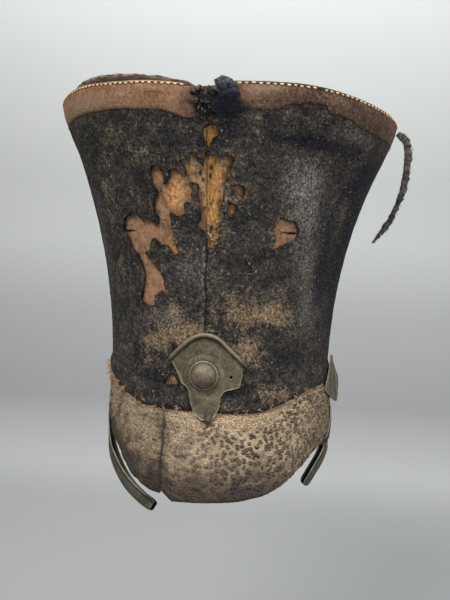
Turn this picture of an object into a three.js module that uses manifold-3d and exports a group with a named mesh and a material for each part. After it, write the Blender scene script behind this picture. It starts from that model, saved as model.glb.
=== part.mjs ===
// A worn bell-top shako: a flared leather shell under torn black felt, a stitched
// leather band, a dished crown, a split leather peak and its brass fittings.
// Millimetres. +Z is up, the front looks along -Y and the origin is the middle of the lower rim.
import * as THREE from "three";
import { mergeVertices } from "three/addons/utils/BufferGeometryUtils.js";
import Module from "manifold-3d";

const wasm = await Module();
wasm.setup();

// The shell's outer face
const BODY_HEIGHT = 197;
const BASE_WIDTH = 159;
const BASE_LENGTH = 191;
const RIM_WIDTH = 238;
const RIM_LENGTH = 248;
const FLARE_POWER = 2.4;
// How far the old hat has warped: its top leans to +X, drops there, and sags at the sides
const RIM_LEAN = 3.2;
const RIM_DROP = 4.6;
const SIDE_SAG = 2.2;
// Walls, and the gap kept between any two pieces
const GAP = 0.3;
const SHELL_WALL = 2;
const STRIP_WALL = 0.6;
const CLOTH_WALL = 1.6;
const BAND_WALL = 1.3;
const BAND_CROWNING = 0.6;
const CROWN_WALL = 1.8;
const PEAK_WALL = 2.2;
// Band, crown and seam
const BAND_HEIGHT = 16;
const SHELL_BELOW_RIM = 1.2;
const CROWN_SINK = 14;
const CROWN_DISH = 4;
const FLANGE_RISE = 5.2;
const SLIT_HEIGHT = 1.4;
const SEAM_SLIT_WIDTH = 1.2;
// Peak
const PEAK_OUT = 28;
const PEAK_DROP = 47;
const PEAK_ROOT = 9;
const PEAK_ROOT_WALL = 1.2;
const PEAK_ROOT_RAMP = 6;
const PEAK_CREASE_DEPTH = 1.6;
// The brass channel that bound the peak's edge
const BINDING_WIDTH = 8;
const BINDING_WALL = 0.6;
const GRIP_GAP = 0.5;
// Share of the channel's width that the edge has slipped out of at the end of the grip
const BINDING_SLIP = 0.7;
// Brass plate and button in front
const PLATE_WIDTH = 44;
const PLATE_HEIGHT = 51;
const PLATE_WALL = 1;
const PLATE_CENTRE_HEIGHT = 24.3;
const PLATE_FOOT_LEAN = 0.4;
const RIB_RADIUS = 1.5;
const HOOK_LENGTH = 5;
const HOOK_WIDTH = 3;
const RIVET_HOLE_RADIUS = 1;
const BUTTON_RADIUS = 8.8;
const BUTTON_HEIGHT = 6;
// Brass fitting at the right side
const SIDE_PLATE_WIDTH = 26;
const SIDE_PLATE_HEIGHT = 36;
const SIDE_PLATE_LIFT = 6;
const SIDE_PLATE_CENTRE_HEIGHT = 8.5;
// Torn leather strip that hangs from the band
const TORN_STRIP_LENGTH = 84;
const TORN_STRIP_WIDTH = 4.6;
const TORN_STRIP_WALL = 1.2;
// Tuft of blue wool in the torn rim
const WOOL_THICKNESS = 1.8;

// Turns are degrees round the hat: 0 in front, positive towards +X
const TURN_STEPS = 60;
const TURN_STEP = 360 / TURN_STEPS;
const STRIP_HALF_TURN = TURN_STEP;
const PEAK_HALF_TURN = 14 * TURN_STEP;
// Rows that the shell and the cloth share, as shares of the body's height
const SHARED_ROWS = [0.1, 0.22, 0.34, 0.46, 0.57, 0.67, 0.76, 0.85];
// The flare eases off above this share of the height, so that the band stands steeper
const EASE_FROM = 0.86;
const EASE_RATE = 6;

// Waves of the rim: how far it sinks round each turn
const RIM_WAVES = [
  { turn: -47, wide: 16, sink: -1.8 },
  { turn: -4, wide: 9, sink: 2.4 },
  { turn: 31, wide: 20, sink: -2.6 },
];

// Dents: place, reach in degrees and in shares of the height, depth as a share of the rim's width
const DENTS = [
  { turn: 40, up: 0.81, wide: 18, tall: 0.07, deep: 0.012 },
  { turn: 58, up: 0.64, wide: 9, tall: 0.16, deep: 0.012 },
  { turn: 37, up: 0.62, wide: 7, tall: 0.2, deep: -0.006 },
  { turn: -45, up: 0.75, wide: 14, tall: 0.12, deep: 0.006 },
  { turn: -92, up: 0.82, wide: 30, tall: 0.09, deep: 0.007 },
  { turn: 20, up: 0.35, wide: 14, tall: 0.12, deep: 0.004 },
  { turn: 150, up: 0.6, wide: 22, tall: 0.16, deep: 0.01 },
  { turn: -130, up: 0.45, wide: 20, tall: 0.18, deep: 0.008 },
];

// Lower edge of the felt, where the peak comes out from under it
const CLOTH_LOW = [
  { turn: -180, up: 0 },
  { turn: -112, up: 0 },
  { turn: -90, up: 0.03 },
  { turn: -74, up: 0.046 },
  { turn: -58, up: 0.044 },
  { turn: -42, up: 0.032 },
  { turn: -30, up: 0.008 },
  { turn: -6, up: 0.008 },
  { turn: 9, up: 0.002 },
  { turn: 24, up: -0.002 },
  { turn: 32, up: 0.008 },
  { turn: 42, up: 0.028 },
  { turn: 53, up: 0.048 },
  { turn: 74, up: 0.046 },
  { turn: 90, up: 0.03 },
  { turn: 112, up: 0 },
  { turn: 180, up: 0 },
];

// Lower edge of the band, as shares of its height below (1) the rim (0)
const BAND_LOW = [
  { turn: -180, down: 1 },
  { turn: -54, down: 1 },
  { turn: -27, down: 0.94 },
  { turn: -12, down: 1.02 },
  { turn: -5, down: 1.22 },
  { turn: 1, down: 1.06 },
  { turn: 9, down: 0.98 },
  { turn: 18, down: 0.95 },
  { turn: 24, down: 0.66 },
  { turn: 31, down: 0.54 },
  { turn: 39, down: 0.8 },
  { turn: 55, down: 0.96 },
  { turn: 180, down: 1 },
];

// How far the crown's flange stands above the rim, as shares of FLANGE_RISE
const FLANGE_TOP = [
  { turn: -180, rise: 0.1 },
  { turn: -75, rise: 0.1 },
  { turn: -56, rise: 0.3 },
  { turn: -46, rise: 0.8 },
  { turn: -36, rise: 1 },
  { turn: -24, rise: 0.9 },
  { turn: -14, rise: 0.65 },
  { turn: -6, rise: 0.35 },
  { turn: -2, rise: -0.5 },
  { turn: 1, rise: -0.6 },
  { turn: 6, rise: -0.2 },
  { turn: 20, rise: 0 },
  { turn: 180, rise: 0.1 },
];

// Holes worn through the felt, each a ring of [turn, share of the height]
const FELT_HOLES = {
  upperLobe: [
    [-20.5, 0.75], [-19, 0.765], [-16.5, 0.765], [-15.5, 0.745], [-15.5, 0.72], [-17.5, 0.695],
    [-16, 0.66], [-14.5, 0.63], [-14, 0.58], [-20, 0.585], [-19.5, 0.61], [-21, 0.63],
    [-20.5, 0.66], [-18.5, 0.69], [-20.5, 0.71],
  ],
  leftPatch: [
    [-39, 0.575], [-36.5, 0.605], [-31.5, 0.625], [-29, 0.62], [-27.5, 0.61], [-24, 0.61],
    [-20.5, 0.59], [-14, 0.59], [-13, 0.53], [-11.5, 0.5], [-14, 0.5], [-16, 0.525],
    [-19, 0.525], [-22, 0.545], [-23.5, 0.54], [-24.5, 0.505], [-28, 0.5], [-30, 0.485],
    [-33.5, 0.5], [-36.5, 0.54],
  ],
  tail: [
    [-31.5, 0.49], [-28, 0.505], [-26.5, 0.485], [-22.5, 0.465], [-20, 0.44], [-18.5, 0.415],
    [-18, 0.375], [-20.5, 0.38], [-23.5, 0.365], [-24, 0.33], [-27, 0.325], [-31.5, 0.34],
    [-31, 0.365], [-29, 0.405], [-28.5, 0.44],
  ],
  tanPatch: [
    [-16, 0.705], [-13.5, 0.73], [-13, 0.755], [-11, 0.76], [-8.5, 0.745], [-8, 0.735],
    [-5.5, 0.735], [-5.5, 0.69], [-6, 0.66], [-8, 0.66], [-8.5, 0.625], [-11, 0.615],
    [-15, 0.63], [-16, 0.66],
  ],
  tanTop: [
    [-9.5, 0.785], [-6, 0.79], [-5, 0.81], [-3.5, 0.81], [-3, 0.785], [-1, 0.76],
    [-1, 0.72], [-3.5, 0.715], [-5.5, 0.72], [-7.5, 0.73], [-7.5, 0.76],
  ],
  goldPatch: [
    [-1, 0.795], [2.5, 0.8], [4, 0.775], [5.5, 0.74], [5.5, 0.675], [4, 0.645],
    [4.5, 0.595], [4, 0.545], [2.5, 0.525], [-0.5, 0.52], [-0.5, 0.57], [-4, 0.59],
    [-4, 0.6], [-2.5, 0.615], [-2.5, 0.65], [-3.5, 0.69], [-3.5, 0.725], [-1.5, 0.73],
  ],
  goldRight: [
    [3.5, 0.79], [7, 0.8], [8, 0.785], [6.5, 0.765], [8, 0.74], [6, 0.725], [4, 0.75],
  ],
  heart: [[8, 0.715], [10, 0.715], [12.5, 0.71], [12.5, 0.69], [11.5, 0.68], [9.5, 0.69]],
  drop: [[6.5, 0.67], [8, 0.66], [10, 0.66], [10.5, 0.645], [9, 0.625], [7, 0.62], [7.5, 0.65]],
  rightPatch: [
    [26.5, 0.625], [31, 0.61], [32.5, 0.62], [35.5, 0.58], [34.5, 0.56], [30, 0.54],
    [27.5, 0.525], [25, 0.525], [26.5, 0.55], [24.5, 0.585],
  ],
  keyhole: [
    [-0.5, 0.88], [1, 0.88], [2, 0.865], [2, 0.85], [1, 0.84], [0, 0.83],
    [-0.5, 0.81], [-1, 0.81], [-1.5, 0.83], [-2.5, 0.85], [-3, 0.865], [-2, 0.875],
  ],
  spot: [
    [-19, 0.09], [-17, 0.105], [-16.5, 0.115], [-14, 0.12], [-12.5, 0.1], [-10.5, 0.09],
    [-15.5, 0.08], [-18, 0.08],
  ],
};
// The open front seam of the felt, from its lowest open stitch up to the band
const SEAM_SLIT = { turn: -0.5, low: 0.3, high: 1.1 };
// Slits cut through the shell itself
const SHELL_SLITS = [
  { from: -40, to: -33, up: 0.565 },
  { from: 29, to: 36, up: 0.578 },
];
// What is torn out of the band: the notch in the rim and the ragged hole under it
const BAND_TEARS = [
  [[-4.5, 1.05], [-3, 0.985], [-1.5, 0.972], [0.5, 0.975], [1.2, 1.05]],
  [[-5.5, 0.96], [-3, 0.975], [1.5, 0.976], [3.6, 0.958], [1.5, 0.952], [-4.5, 0.952]],
  [[-4.2, 0.954], [1.4, 0.954], [1.8, 0.935], [0, 0.912], [-2, 0.906], [-3.4, 0.925]],
];

// The peak's edge: how far it stands out and down, as shares of PEAK_OUT and PEAK_DROP
const PEAK_EDGE = [
  { turn: -90, out: 0, drop: 0.2 },
  { turn: -84, out: 0.01, drop: 0.42 },
  { turn: -72, out: 0.03, drop: 0.64 },
  { turn: -60, out: 0.06, drop: 0.75 },
  { turn: -45, out: 0.16, drop: 0.86 },
  { turn: -30, out: 0.42, drop: 0.96 },
  { turn: -19, out: 0.64, drop: 1.04 },
  { turn: -14.5, out: 0.74, drop: 1.05 },
  { turn: -12.5, out: 0.84, drop: 1 },
  { turn: -8, out: 0.96, drop: 1.06 },
  { turn: 0, out: 1, drop: 1.03 },
  { turn: 14, out: 0.9, drop: 1.015 },
  { turn: 28, out: 0.66, drop: 0.98 },
  { turn: 40, out: 0.4, drop: 0.96 },
  { turn: 52, out: 0.24, drop: 0.93 },
  { turn: 66, out: 0.15, drop: 0.86 },
  { turn: 78, out: 0.12, drop: 0.72 },
  { turn: 84, out: 0.1, drop: 0.5 },
  { turn: 90, out: 0.08, drop: 0.2 },
];
// The peak's profile from root (0) to edge (1): two handles of a cubic curve
const PEAK_BEND = { firstOut: 0.06, firstDown: 0.16, secondOut: 0.78, secondDown: 0.5 };
const PEAK_ROWS = [-1, 0, 0.12, 0.28, 0.46, 0.64, 0.82, 1];
const PEAK_TURN_STEPS = 36;
const PEAK_TURN_STEP = (2 * PEAK_HALF_TURN) / PEAK_TURN_STEPS;
// The split in the peak's left: its crease, and the open V at the edge
const PEAK_SPLIT = { turn: -13.6, creaseReach: 3, openLeft: 0.7, openRight: 1.4, tip: 0.84 };

// The two channels: how many columns of the peak's edge they still grip, the point that their open
// side turns to, and the run of their loose ends: x and y as shares of the base's half width and
// half length, down as a share of PEAK_DROP
const LEFT_BINDING = {
  side: -1,
  grips: 1,
  opensTo: { x: 0, y: -0.4, down: 0 },
  loose: [
    { x: -0.985, y: -0.3, down: 0.86 },
    { x: -0.935, y: -0.42, down: 1.09 },
    { x: -0.845, y: -0.53, down: 1.28 },
    { x: -0.715, y: -0.66, down: 1.42 },
    { x: -0.58, y: -0.76, down: 1.51 },
    { x: -0.45, y: -0.86, down: 1.55 },
  ],
};
const RIGHT_BINDING = {
  side: 1,
  grips: 2,
  opensTo: { x: 0.2, y: -1.1, down: 0 },
  loose: [
    { x: 1.02, y: -0.29, down: 0.86 },
    { x: 0.975, y: -0.37, down: 1.04 },
    { x: 0.91, y: -0.42, down: 1.2 },
    { x: 0.845, y: -0.46, down: 1.37 },
  ],
};

// The plate's left and right edges at each height, as shares of half its width and of its height
const PLATE_ROWS = [
  { up: -0.55, left: -0.02, right: 0.24 },
  { up: -0.5, left: -0.2, right: 0.36 },
  { up: -0.42, left: -0.29, right: 0.45 },
  { up: -0.34, left: -0.36, right: 0.49 },
  { up: -0.26, left: -0.39, right: 0.5 },
  { up: -0.19, left: -0.42, right: 0.6 },
  { up: -0.15, left: -0.5, right: 0.98 },
  { up: -0.11, left: -0.64, right: 1.02 },
  { up: -0.03, left: -0.7, right: 1.06 },
  { up: 0.1, left: -0.88, right: 1.06 },
  { up: 0.14, left: -0.92, right: 1.02 },
  { up: 0.3, left: -0.68, right: 0.7 },
  { up: 0.42, left: -0.4, right: 0.42 },
  { up: 0.49, left: -0.1, right: 0.1 },
];
// The rolled rib over the plate's top
const PLATE_RIB = [
  { across: -1.12, up: 0.12 },
  { across: -0.7, up: 0.32 },
  { across: -0.35, up: 0.455 },
  { across: 0, up: 0.5 },
  { across: 0.35, up: 0.46 },
  { across: 0.72, up: 0.31 },
  { across: 1.16, up: 0.12 },
];
const RIVET_HOLE = { across: 0.76, up: -0.02 };

// Leaf outline of the side fitting: its front (-1) and rear (1) edges at each height, and how far
// its rear edge stands off there, as shares of its sizes
const SIDE_PLATE_TURN = 78;
const SIDE_PLATE_ROWS = [
  { up: -0.5, front: 0.55, rear: 0.75, lift: 1 },
  { up: -0.42, front: 0.1, rear: 0.95, lift: 1 },
  { up: -0.24, front: -0.75, rear: 1, lift: 1 },
  { up: -0.16, front: -1, rear: 1, lift: 1 },
  { up: 0, front: -0.85, rear: 0.95, lift: 0.9 },
  { up: 0.2, front: -0.5, rear: 0.7, lift: 0.55 },
  { up: 0.36, front: -0.35, rear: 0.4, lift: 0.25 },
  { up: 0.5, front: -0.1, rear: 0.12, lift: 0.1 },
];

// The torn strip's run: out from the band and down, as shares of its length, and its width left
const TORN_STRIP_TURN = 86;
const TORN_STRIP_RUN = [
  { out: 0, down: 0, width: 0.8 },
  { out: 0.07, down: 0.06, width: 1 },
  { out: 0.094, down: 0.16, width: 1 },
  { out: 0.09, down: 0.32, width: 0.95 },
  { out: 0.07, down: 0.465, width: 0.9 },
  { out: 0.036, down: 0.585, width: 0.8 },
  { out: -0.013, down: 0.705, width: 0.8 },
  { out: -0.07, down: 0.8, width: 0.8 },
  { out: -0.12, down: 0.87, width: 0.55 },
  { out: -0.17, down: 0.935, width: 0.15 },
];

// Blue wool tuft: outline of [turn, share of the height] on the band
const WOOL_OUTLINE = [
  [1.6, 1.004], [3.4, 1.012], [5.6, 1.006], [7.4, 0.985], [7.6, 0.955], [6.6, 0.93],
  [4.6, 0.915], [3.2, 0.93], [4.2, 0.955], [3, 0.975],
];

const MATERIALS = {
  felt: new THREE.MeshStandardMaterial({ color: 0x23222a, roughness: 0.95, metalness: 0 }),
  shellLeather: new THREE.MeshStandardMaterial({ color: 0x86604a, roughness: 0.8, metalness: 0 }),
  seamLeather: new THREE.MeshStandardMaterial({ color: 0xb98038, roughness: 0.75, metalness: 0 }),
  bandLeather: new THREE.MeshStandardMaterial({ color: 0x6f5142, roughness: 0.7, metalness: 0 }),
  peakLeather: new THREE.MeshStandardMaterial({ color: 0x77695a, roughness: 0.75, metalness: 0 }),
  brass: new THREE.MeshStandardMaterial({ color: 0x77735a, roughness: 0.5, metalness: 0.8 }),
  wool: new THREE.MeshStandardMaterial({ color: 0x2b3240, roughness: 1, metalness: 0 }),
};

// Small helpers
const radians = THREE.MathUtils.degToRad;
const smoothstep = THREE.MathUtils.smoothstep;
const bump = (distance, reach) => Math.exp(-((distance / reach) ** 2));

// Value of a table's column at a turn, straight between its rows
function tableAt(table, column, turn) {
  const after = table.findIndex((row) => row.turn >= turn);
  if (after <= 0) return after === 0 ? table[0][column] : table.at(-1)[column];
  const [a, b] = [table[after - 1], table[after]];
  return a[column] + ((b[column] - a[column]) * (turn - a.turn)) / (b.turn - a.turn);
}

// Closed geometry from points and triangles, with its faces turned outwards
function geometryOf(points, faces) {
  const side = new THREE.Vector3();
  const volume = faces.reduce((sum, [a, b, c]) => {
    return sum + points[a].dot(side.crossVectors(points[b], points[c]));
  }, 0);
  const index = faces.flatMap(([a, b, c]) => (volume < 0 ? [a, c, b] : [a, b, c]));
  const geometry = new THREE.BufferGeometry().setFromPoints(points);
  geometry.setIndex(index);
  return geometry;
}

// Solid of a geometry, for cutting and joining
function solidOf(geometry) {
  const bare = geometry.index ? geometry.toNonIndexed() : geometry.clone();
  bare.deleteAttribute("normal");
  bare.deleteAttribute("uv");
  const merged = mergeVertices(bare, 1e-4);
  return new wasm.Manifold(
    new wasm.Mesh({
      numProp: 3,
      vertProperties: merged.attributes.position.array,
      triVerts: new Uint32Array(merged.index.array),
    }),
  );
}

// Geometry of a solid
function geometryFrom(solid) {
  const mesh = solid.getMesh();
  const geometry = new THREE.BufferGeometry();
  geometry.setAttribute("position", new THREE.BufferAttribute(mesh.vertProperties, 3));
  geometry.setIndex(new THREE.BufferAttribute(mesh.triVerts, 1));
  return geometry;
}

// A wall between two grids of points; closed joins its last column to its first
function wall(columns, rows, outer, inner, closed) {
  const points = [];
  for (const face of [outer, inner]) {
    for (const column of columns) {
      for (const row of rows) points.push(face(column, row));
    }
  }
  const n = rows.length;
  const m = columns.length;
  const outside = (i, j) => (i % m) * n + j;
  const inside = (i, j) => m * n + (i % m) * n + j;
  const faces = [];
  const quad = (a, b, c, d) => faces.push([a, b, c], [a, c, d]);
  const last = closed ? m : m - 1;
  for (let i = 0; i < last; i++) {
    for (let j = 0; j < n - 1; j++) {
      quad(outside(i, j), outside(i + 1, j), outside(i + 1, j + 1), outside(i, j + 1));
      quad(inside(i, j), inside(i, j + 1), inside(i + 1, j + 1), inside(i + 1, j));
    }
    quad(outside(i, n - 1), outside(i + 1, n - 1), inside(i + 1, n - 1), inside(i, n - 1));
    quad(outside(i, 0), inside(i, 0), inside(i + 1, 0), outside(i + 1, 0));
  }
  if (!closed) {
    for (let j = 0; j < n - 1; j++) {
      quad(outside(0, j), outside(0, j + 1), inside(0, j + 1), inside(0, j));
      quad(outside(m - 1, j), inside(m - 1, j), inside(m - 1, j + 1), outside(m - 1, j + 1));
    }
  }
  return geometryOf(points, faces);
}

// A flat outline's triangles, all turned the same way
function outlineFaces(outline) {
  const flat = outline.map(([x, y]) => new THREE.Vector2(x, y));
  return THREE.ShapeUtils.triangulateShape(flat, []).map(([a, b, c]) => {
    const turned = THREE.ShapeUtils.area([flat[a], flat[b], flat[c]]) < 0;
    return turned ? [a, c, b] : [a, b, c];
  });
}

// A plug with the given outline between two faces, each a function of the outline's coordinates
function plug(outline, near, far) {
  const counterclockwise =
    THREE.ShapeUtils.area(outline.map(([x, y]) => new THREE.Vector2(x, y))) > 0;
  const ring = counterclockwise ? outline : [...outline].reverse();
  const n = ring.length;
  const points = [...ring.map(([u, v]) => near(u, v)), ...ring.map(([u, v]) => far(u, v))];
  const caps = outlineFaces(ring);
  const faces = [
    ...caps.map(([a, b, c]) => [a, c, b]),
    ...caps.map(([a, b, c]) => [a + n, b + n, c + n]),
  ];
  for (let i = 0; i < n; i++) {
    const next = (i + 1) % n;
    faces.push([i, next, next + n], [i, next + n, i + n]);
  }
  return geometryOf(points, faces);
}

// A bar with one closed section per step: section gives [along across, along over] pairs
function bar(steps, section) {
  const points = [];
  for (const { at, across, over, scale = 1 } of steps) {
    for (const [u, v] of section) {
      points.push(at.clone().addScaledVector(across, u * scale).addScaledVector(over, v));
    }
  }
  const n = section.length;
  const caps = outlineFaces(section);
  const end = (steps.length - 1) * n;
  const faces = [
    ...caps.map(([a, b, c]) => [a, c, b]),
    ...caps.map(([a, b, c]) => [a + end, b + end, c + end]),
  ];
  for (let i = 0; i < steps.length - 1; i++) {
    for (let k = 0; k < n; k++) {
      const next = (k + 1) % n;
      const [a, b] = [i * n + k, i * n + next];
      faces.push([a, b, b + n], [a, b + n, a + n]);
    }
  }
  return geometryOf(points, faces);
}

function dentDepth(turn, up) {
  return DENTS.reduce((sum, dent) => {
    const round = Math.abs(turn - dent.turn);
    const away = Math.min(round, 360 - round);
    return sum + dent.deep * RIM_WIDTH * bump(away, dent.wide) * bump(up - dent.up, dent.tall);
  }, 0);
}

// Share of the flare reached at a share of the height: 0 at the base, 1 at the rim
function flareAt(up) {
  const plain = (level) =>
    level ** FLARE_POWER - EASE_RATE * Math.max(level - EASE_FROM, 0) ** 2;
  return plain(Math.max(up, 0)) / plain(1);
}

const halfWidth = (up) => (BASE_WIDTH + (RIM_WIDTH - BASE_WIDTH) * flareAt(up)) / 2;
const halfLength = (up) => (BASE_LENGTH + (RIM_LENGTH - BASE_LENGTH) * flareAt(up)) / 2;

// A point `out` millimetres outside the shell's outer face
function bodyPoint(turn, up, out) {
  const level = Math.max(up, 0);
  const angle = radians(turn);
  const away = out - dentDepth(turn, up);
  const x = (halfWidth(up) + away) * Math.sin(angle) + RIM_LEAN * level;
  const y = -(halfLength(up) + away) * Math.cos(angle);
  const waves = RIM_WAVES.reduce((sum, wave) => sum + wave.sink * bump(turn - wave.turn, wave.wide), 0);
  const sideSag = SIDE_SAG * Math.sin(angle) ** 4;
  const drop = (RIM_DROP * x) / (RIM_WIDTH / 2);
  return new THREE.Vector3(
    x,
    y,
    BODY_HEIGHT * up - (waves + sideSag) * level ** 3 - drop * level,
  );
}

const share = (length) => length / BODY_HEIGHT;
const CROWN_FLOOR = 1 - share(CROWN_SINK);
const allTurns = Array.from({ length: TURN_STEPS }, (_, i) => -180 + i * TURN_STEP);
const clothLow = (turn) => tableAt(CLOTH_LOW, "up", turn);
const bandLow = (turn) => 1 - tableAt(BAND_LOW, "down", turn) * share(BAND_HEIGHT);
const clothHigh = (turn) => bandLow(turn) - share(GAP);

// A cutter through every layer of the wall over an outline of [turn, share of the height]
function wallCutter(outline, from, to) {
  return solidOf(
    plug(
      outline,
      (turn, up) => bodyPoint(turn, up, from),
      (turn, up) => bodyPoint(turn, up, to),
    ),
  );
}
const CUT_IN = -(SHELL_WALL + 8);
const CUT_OUT = 14;

function makeShell() {
  const rows = [
    ...[0, ...SHARED_ROWS].map((up) => () => up),
    (turn) => Math.max(clothHigh(turn), CROWN_FLOOR),
    () => 1 - share(SHELL_BELOW_RIM),
  ];
  let shell = solidOf(
    wall(
      allTurns,
      rows,
      (turn, row) => bodyPoint(turn, row(turn), 0),
      (turn, row) => bodyPoint(turn, row(turn), -SHELL_WALL),
      true,
    ),
  );
  for (const { from, to, up } of SHELL_SLITS) {
    const half = share(SLIT_HEIGHT) / 2;
    const middle = (from + to) / 2;
    const outline = [[from, up], [middle, up - half], [to, up], [middle, up + half]];
    shell = shell.subtract(wallCutter(outline, CUT_IN, CUT_OUT));
  }
  return geometryFrom(shell);
}

// How far the felt's inner face stands off the shell: over the seam strip, and over the peak's root
function clothStandOff(turn, up) {
  const side = Math.abs(turn);
  const onStrip = 1 - smoothstep(side, STRIP_HALF_TURN, STRIP_HALF_TURN + TURN_STEP);
  const aboveRoot = (up - clothLow(turn)) * BODY_HEIGHT - PEAK_ROOT;
  const onRoot =
    (1 - smoothstep(aboveRoot, GAP, PEAK_ROOT_RAMP)) *
    (1 - smoothstep(side, PEAK_HALF_TURN + 1, PEAK_HALF_TURN + 2 * TURN_STEP));
  return GAP + Math.max(onStrip * (STRIP_WALL + GAP), onRoot * (PEAK_ROOT_WALL + GAP));
}

function makeCover() {
  const lowRows = [0, PEAK_ROOT + GAP, PEAK_ROOT + PEAK_ROOT_RAMP];
  const rows = [
    ...lowRows.map((above) => (turn) => clothLow(turn) + share(above)),
    ...SHARED_ROWS.slice(1).map((up) => () => up),
    clothHigh,
  ];
  const point = (turn, row, out) => {
    const up = row(turn);
    return bodyPoint(turn, up, clothStandOff(turn, up) + out);
  };
  let cover = solidOf(
    wall(
      allTurns,
      rows,
      (turn, row) => point(turn, row, CLOTH_WALL),
      (turn, row) => point(turn, row, 0),
      true,
    ),
  );
  for (const outline of Object.values(FELT_HOLES)) {
    cover = cover.subtract(wallCutter(outline, CUT_IN, CUT_OUT));
  }
  const half = THREE.MathUtils.radToDeg(SEAM_SLIT_WIDTH / BASE_WIDTH);
  const { turn, low, high } = SEAM_SLIT;
  const seam = [[turn - half, low], [turn + half, low], [turn + half, high], [turn - half, high]];
  return geometryFrom(cover.subtract(wallCutter(seam, CUT_IN, CUT_OUT)));
}

function makeSeamStrip() {
  return wall(
    [-STRIP_HALF_TURN, 0, STRIP_HALF_TURN],
    [...SHARED_ROWS.slice(2), 0.9],
    (turn, up) => bodyPoint(turn, up, GAP + STRIP_WALL),
    (turn, up) => bodyPoint(turn, up, GAP),
    false,
  );
}

function makeBand() {
  const rows = [0, 0.5, 0.88, 1];
  const crowning = [0, BAND_CROWNING, BAND_CROWNING / 2, 0];
  const upOf = (turn, row) => THREE.MathUtils.lerp(bandLow(turn), 1, row);
  const overStrip = (turn) => clothStandOff(turn, 1);
  let band = solidOf(
    wall(
      allTurns,
      rows,
      (turn, row) => {
        const out = overStrip(turn) + BAND_WALL + crowning[rows.indexOf(row)];
        return bodyPoint(turn, upOf(turn, row), out);
      },
      (turn, row) => bodyPoint(turn, upOf(turn, row), overStrip(turn)),
      true,
    ),
  );
  for (const outline of BAND_TEARS) band = band.subtract(wallCutter(outline, CUT_IN, CUT_OUT));
  return geometryFrom(band);
}

// The crown: a dished floor, and a flange that stands up inside the shell
function makeCrown() {
  const outerOut = -(SHELL_WALL + GAP);
  const innerOut = outerOut - CROWN_WALL;
  const topUp = (turn) => 1 + tableAt(FLANGE_TOP, "rise", turn) * share(FLANGE_RISE);
  const middle = (height) => new THREE.Vector3(RIM_LEAN * CROWN_FLOOR, 0, height);
  const floorPoint = (turn, reach, top) => {
    const edge = bodyPoint(turn, CROWN_FLOOR, innerOut);
    const depth = CROWN_DISH * (1 - reach * reach) + (top ? 0 : CROWN_WALL);
    const at = middle(edge.z).lerp(edge, reach);
    return at.setZ(at.z - depth);
  };
  const rings = [
    (turn) => floorPoint(turn, 0.4, false),
    (turn) => floorPoint(turn, 0.8, false),
    (turn) => bodyPoint(turn, CROWN_FLOOR - share(CROWN_WALL), (outerOut + innerOut) / 2),
    (turn) => bodyPoint(turn, CROWN_FLOOR, outerOut - GAP),
    (turn) => bodyPoint(turn, (CROWN_FLOOR + topUp(turn)) / 2, outerOut),
    (turn) => bodyPoint(turn, topUp(turn), outerOut),
    (turn) => bodyPoint(turn, topUp(turn), innerOut),
    (turn) => bodyPoint(turn, CROWN_FLOOR + share(CROWN_WALL), innerOut),
    (turn) => floorPoint(turn, 0.8, true),
    (turn) => floorPoint(turn, 0.4, true),
  ];
  const points = rings.flatMap((ring) => allTurns.map(ring));
  const middleHeight = BODY_HEIGHT * CROWN_FLOOR - CROWN_DISH;
  points.push(middle(middleHeight - CROWN_WALL), middle(middleHeight));
  const [under, over] = [points.length - 2, points.length - 1];
  const n = TURN_STEPS;
  const faces = [];
  for (let i = 0; i < n; i++) {
    const next = (i + 1) % n;
    faces.push([under, next, i], [over, (rings.length - 1) * n + i, (rings.length - 1) * n + next]);
    for (let k = 0; k < rings.length - 1; k++) {
      const [a, b] = [k * n + i, k * n + next];
      faces.push([a, b, b + n], [a, b + n, a + n]);
    }
  }
  return geometryOf(points, faces);
}

// The peak's thickness: pared down at its root, under the felt
const peakWall = (row) => THREE.MathUtils.lerp(PEAK_ROOT_WALL, PEAK_WALL, smoothstep(row, 0, 0.28));

// The peak's outer face: row -1 is the top of its root, 0 the felt's edge and 1 its own edge
function peakOuter(turn, row) {
  const base = GAP + peakWall(row);
  if (row <= 0) return bodyPoint(turn, clothLow(turn) - row * share(PEAK_ROOT), base);
  const { firstOut, firstDown, secondOut, secondDown } = PEAK_BEND;
  const left = 1 - row;
  const curve = (first, second) => 3 * left * left * row * first + 3 * left * row * row * second + row ** 3;
  const out = PEAK_OUT * tableAt(PEAK_EDGE, "out", turn) * curve(firstOut, secondOut);
  const down = PEAK_DROP * tableAt(PEAK_EDGE, "drop", turn) * curve(firstDown, secondDown);
  const crease =
    PEAK_CREASE_DEPTH * bump(turn - PEAK_SPLIT.turn, PEAK_SPLIT.creaseReach) * smoothstep(row, 0, 0.5);
  return bodyPoint(turn, clothLow(turn) - share(down), base + out - crease);
}

// Outward direction of the peak's outer face
function peakNormal(turn, row) {
  const [step, reach] = [0.02, 1];
  const along = peakOuter(turn + reach, row).sub(peakOuter(turn - reach, row));
  const low = Math.min(row + step, 1);
  const down = peakOuter(turn, low).sub(peakOuter(turn, row < 0 ? row : low - 2 * step));
  if (row < 0) return new THREE.Vector3().crossVectors(along, new THREE.Vector3(0, 0, 1)).normalize();
  return new THREE.Vector3().crossVectors(down, along).normalize();
}

const peakInner = (turn, row) =>
  peakOuter(turn, row).addScaledVector(peakNormal(turn, row), -peakWall(row));
const peakMiddle = (turn, row) => peakOuter(turn, row).lerp(peakInner(turn, row), 0.5);

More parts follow.
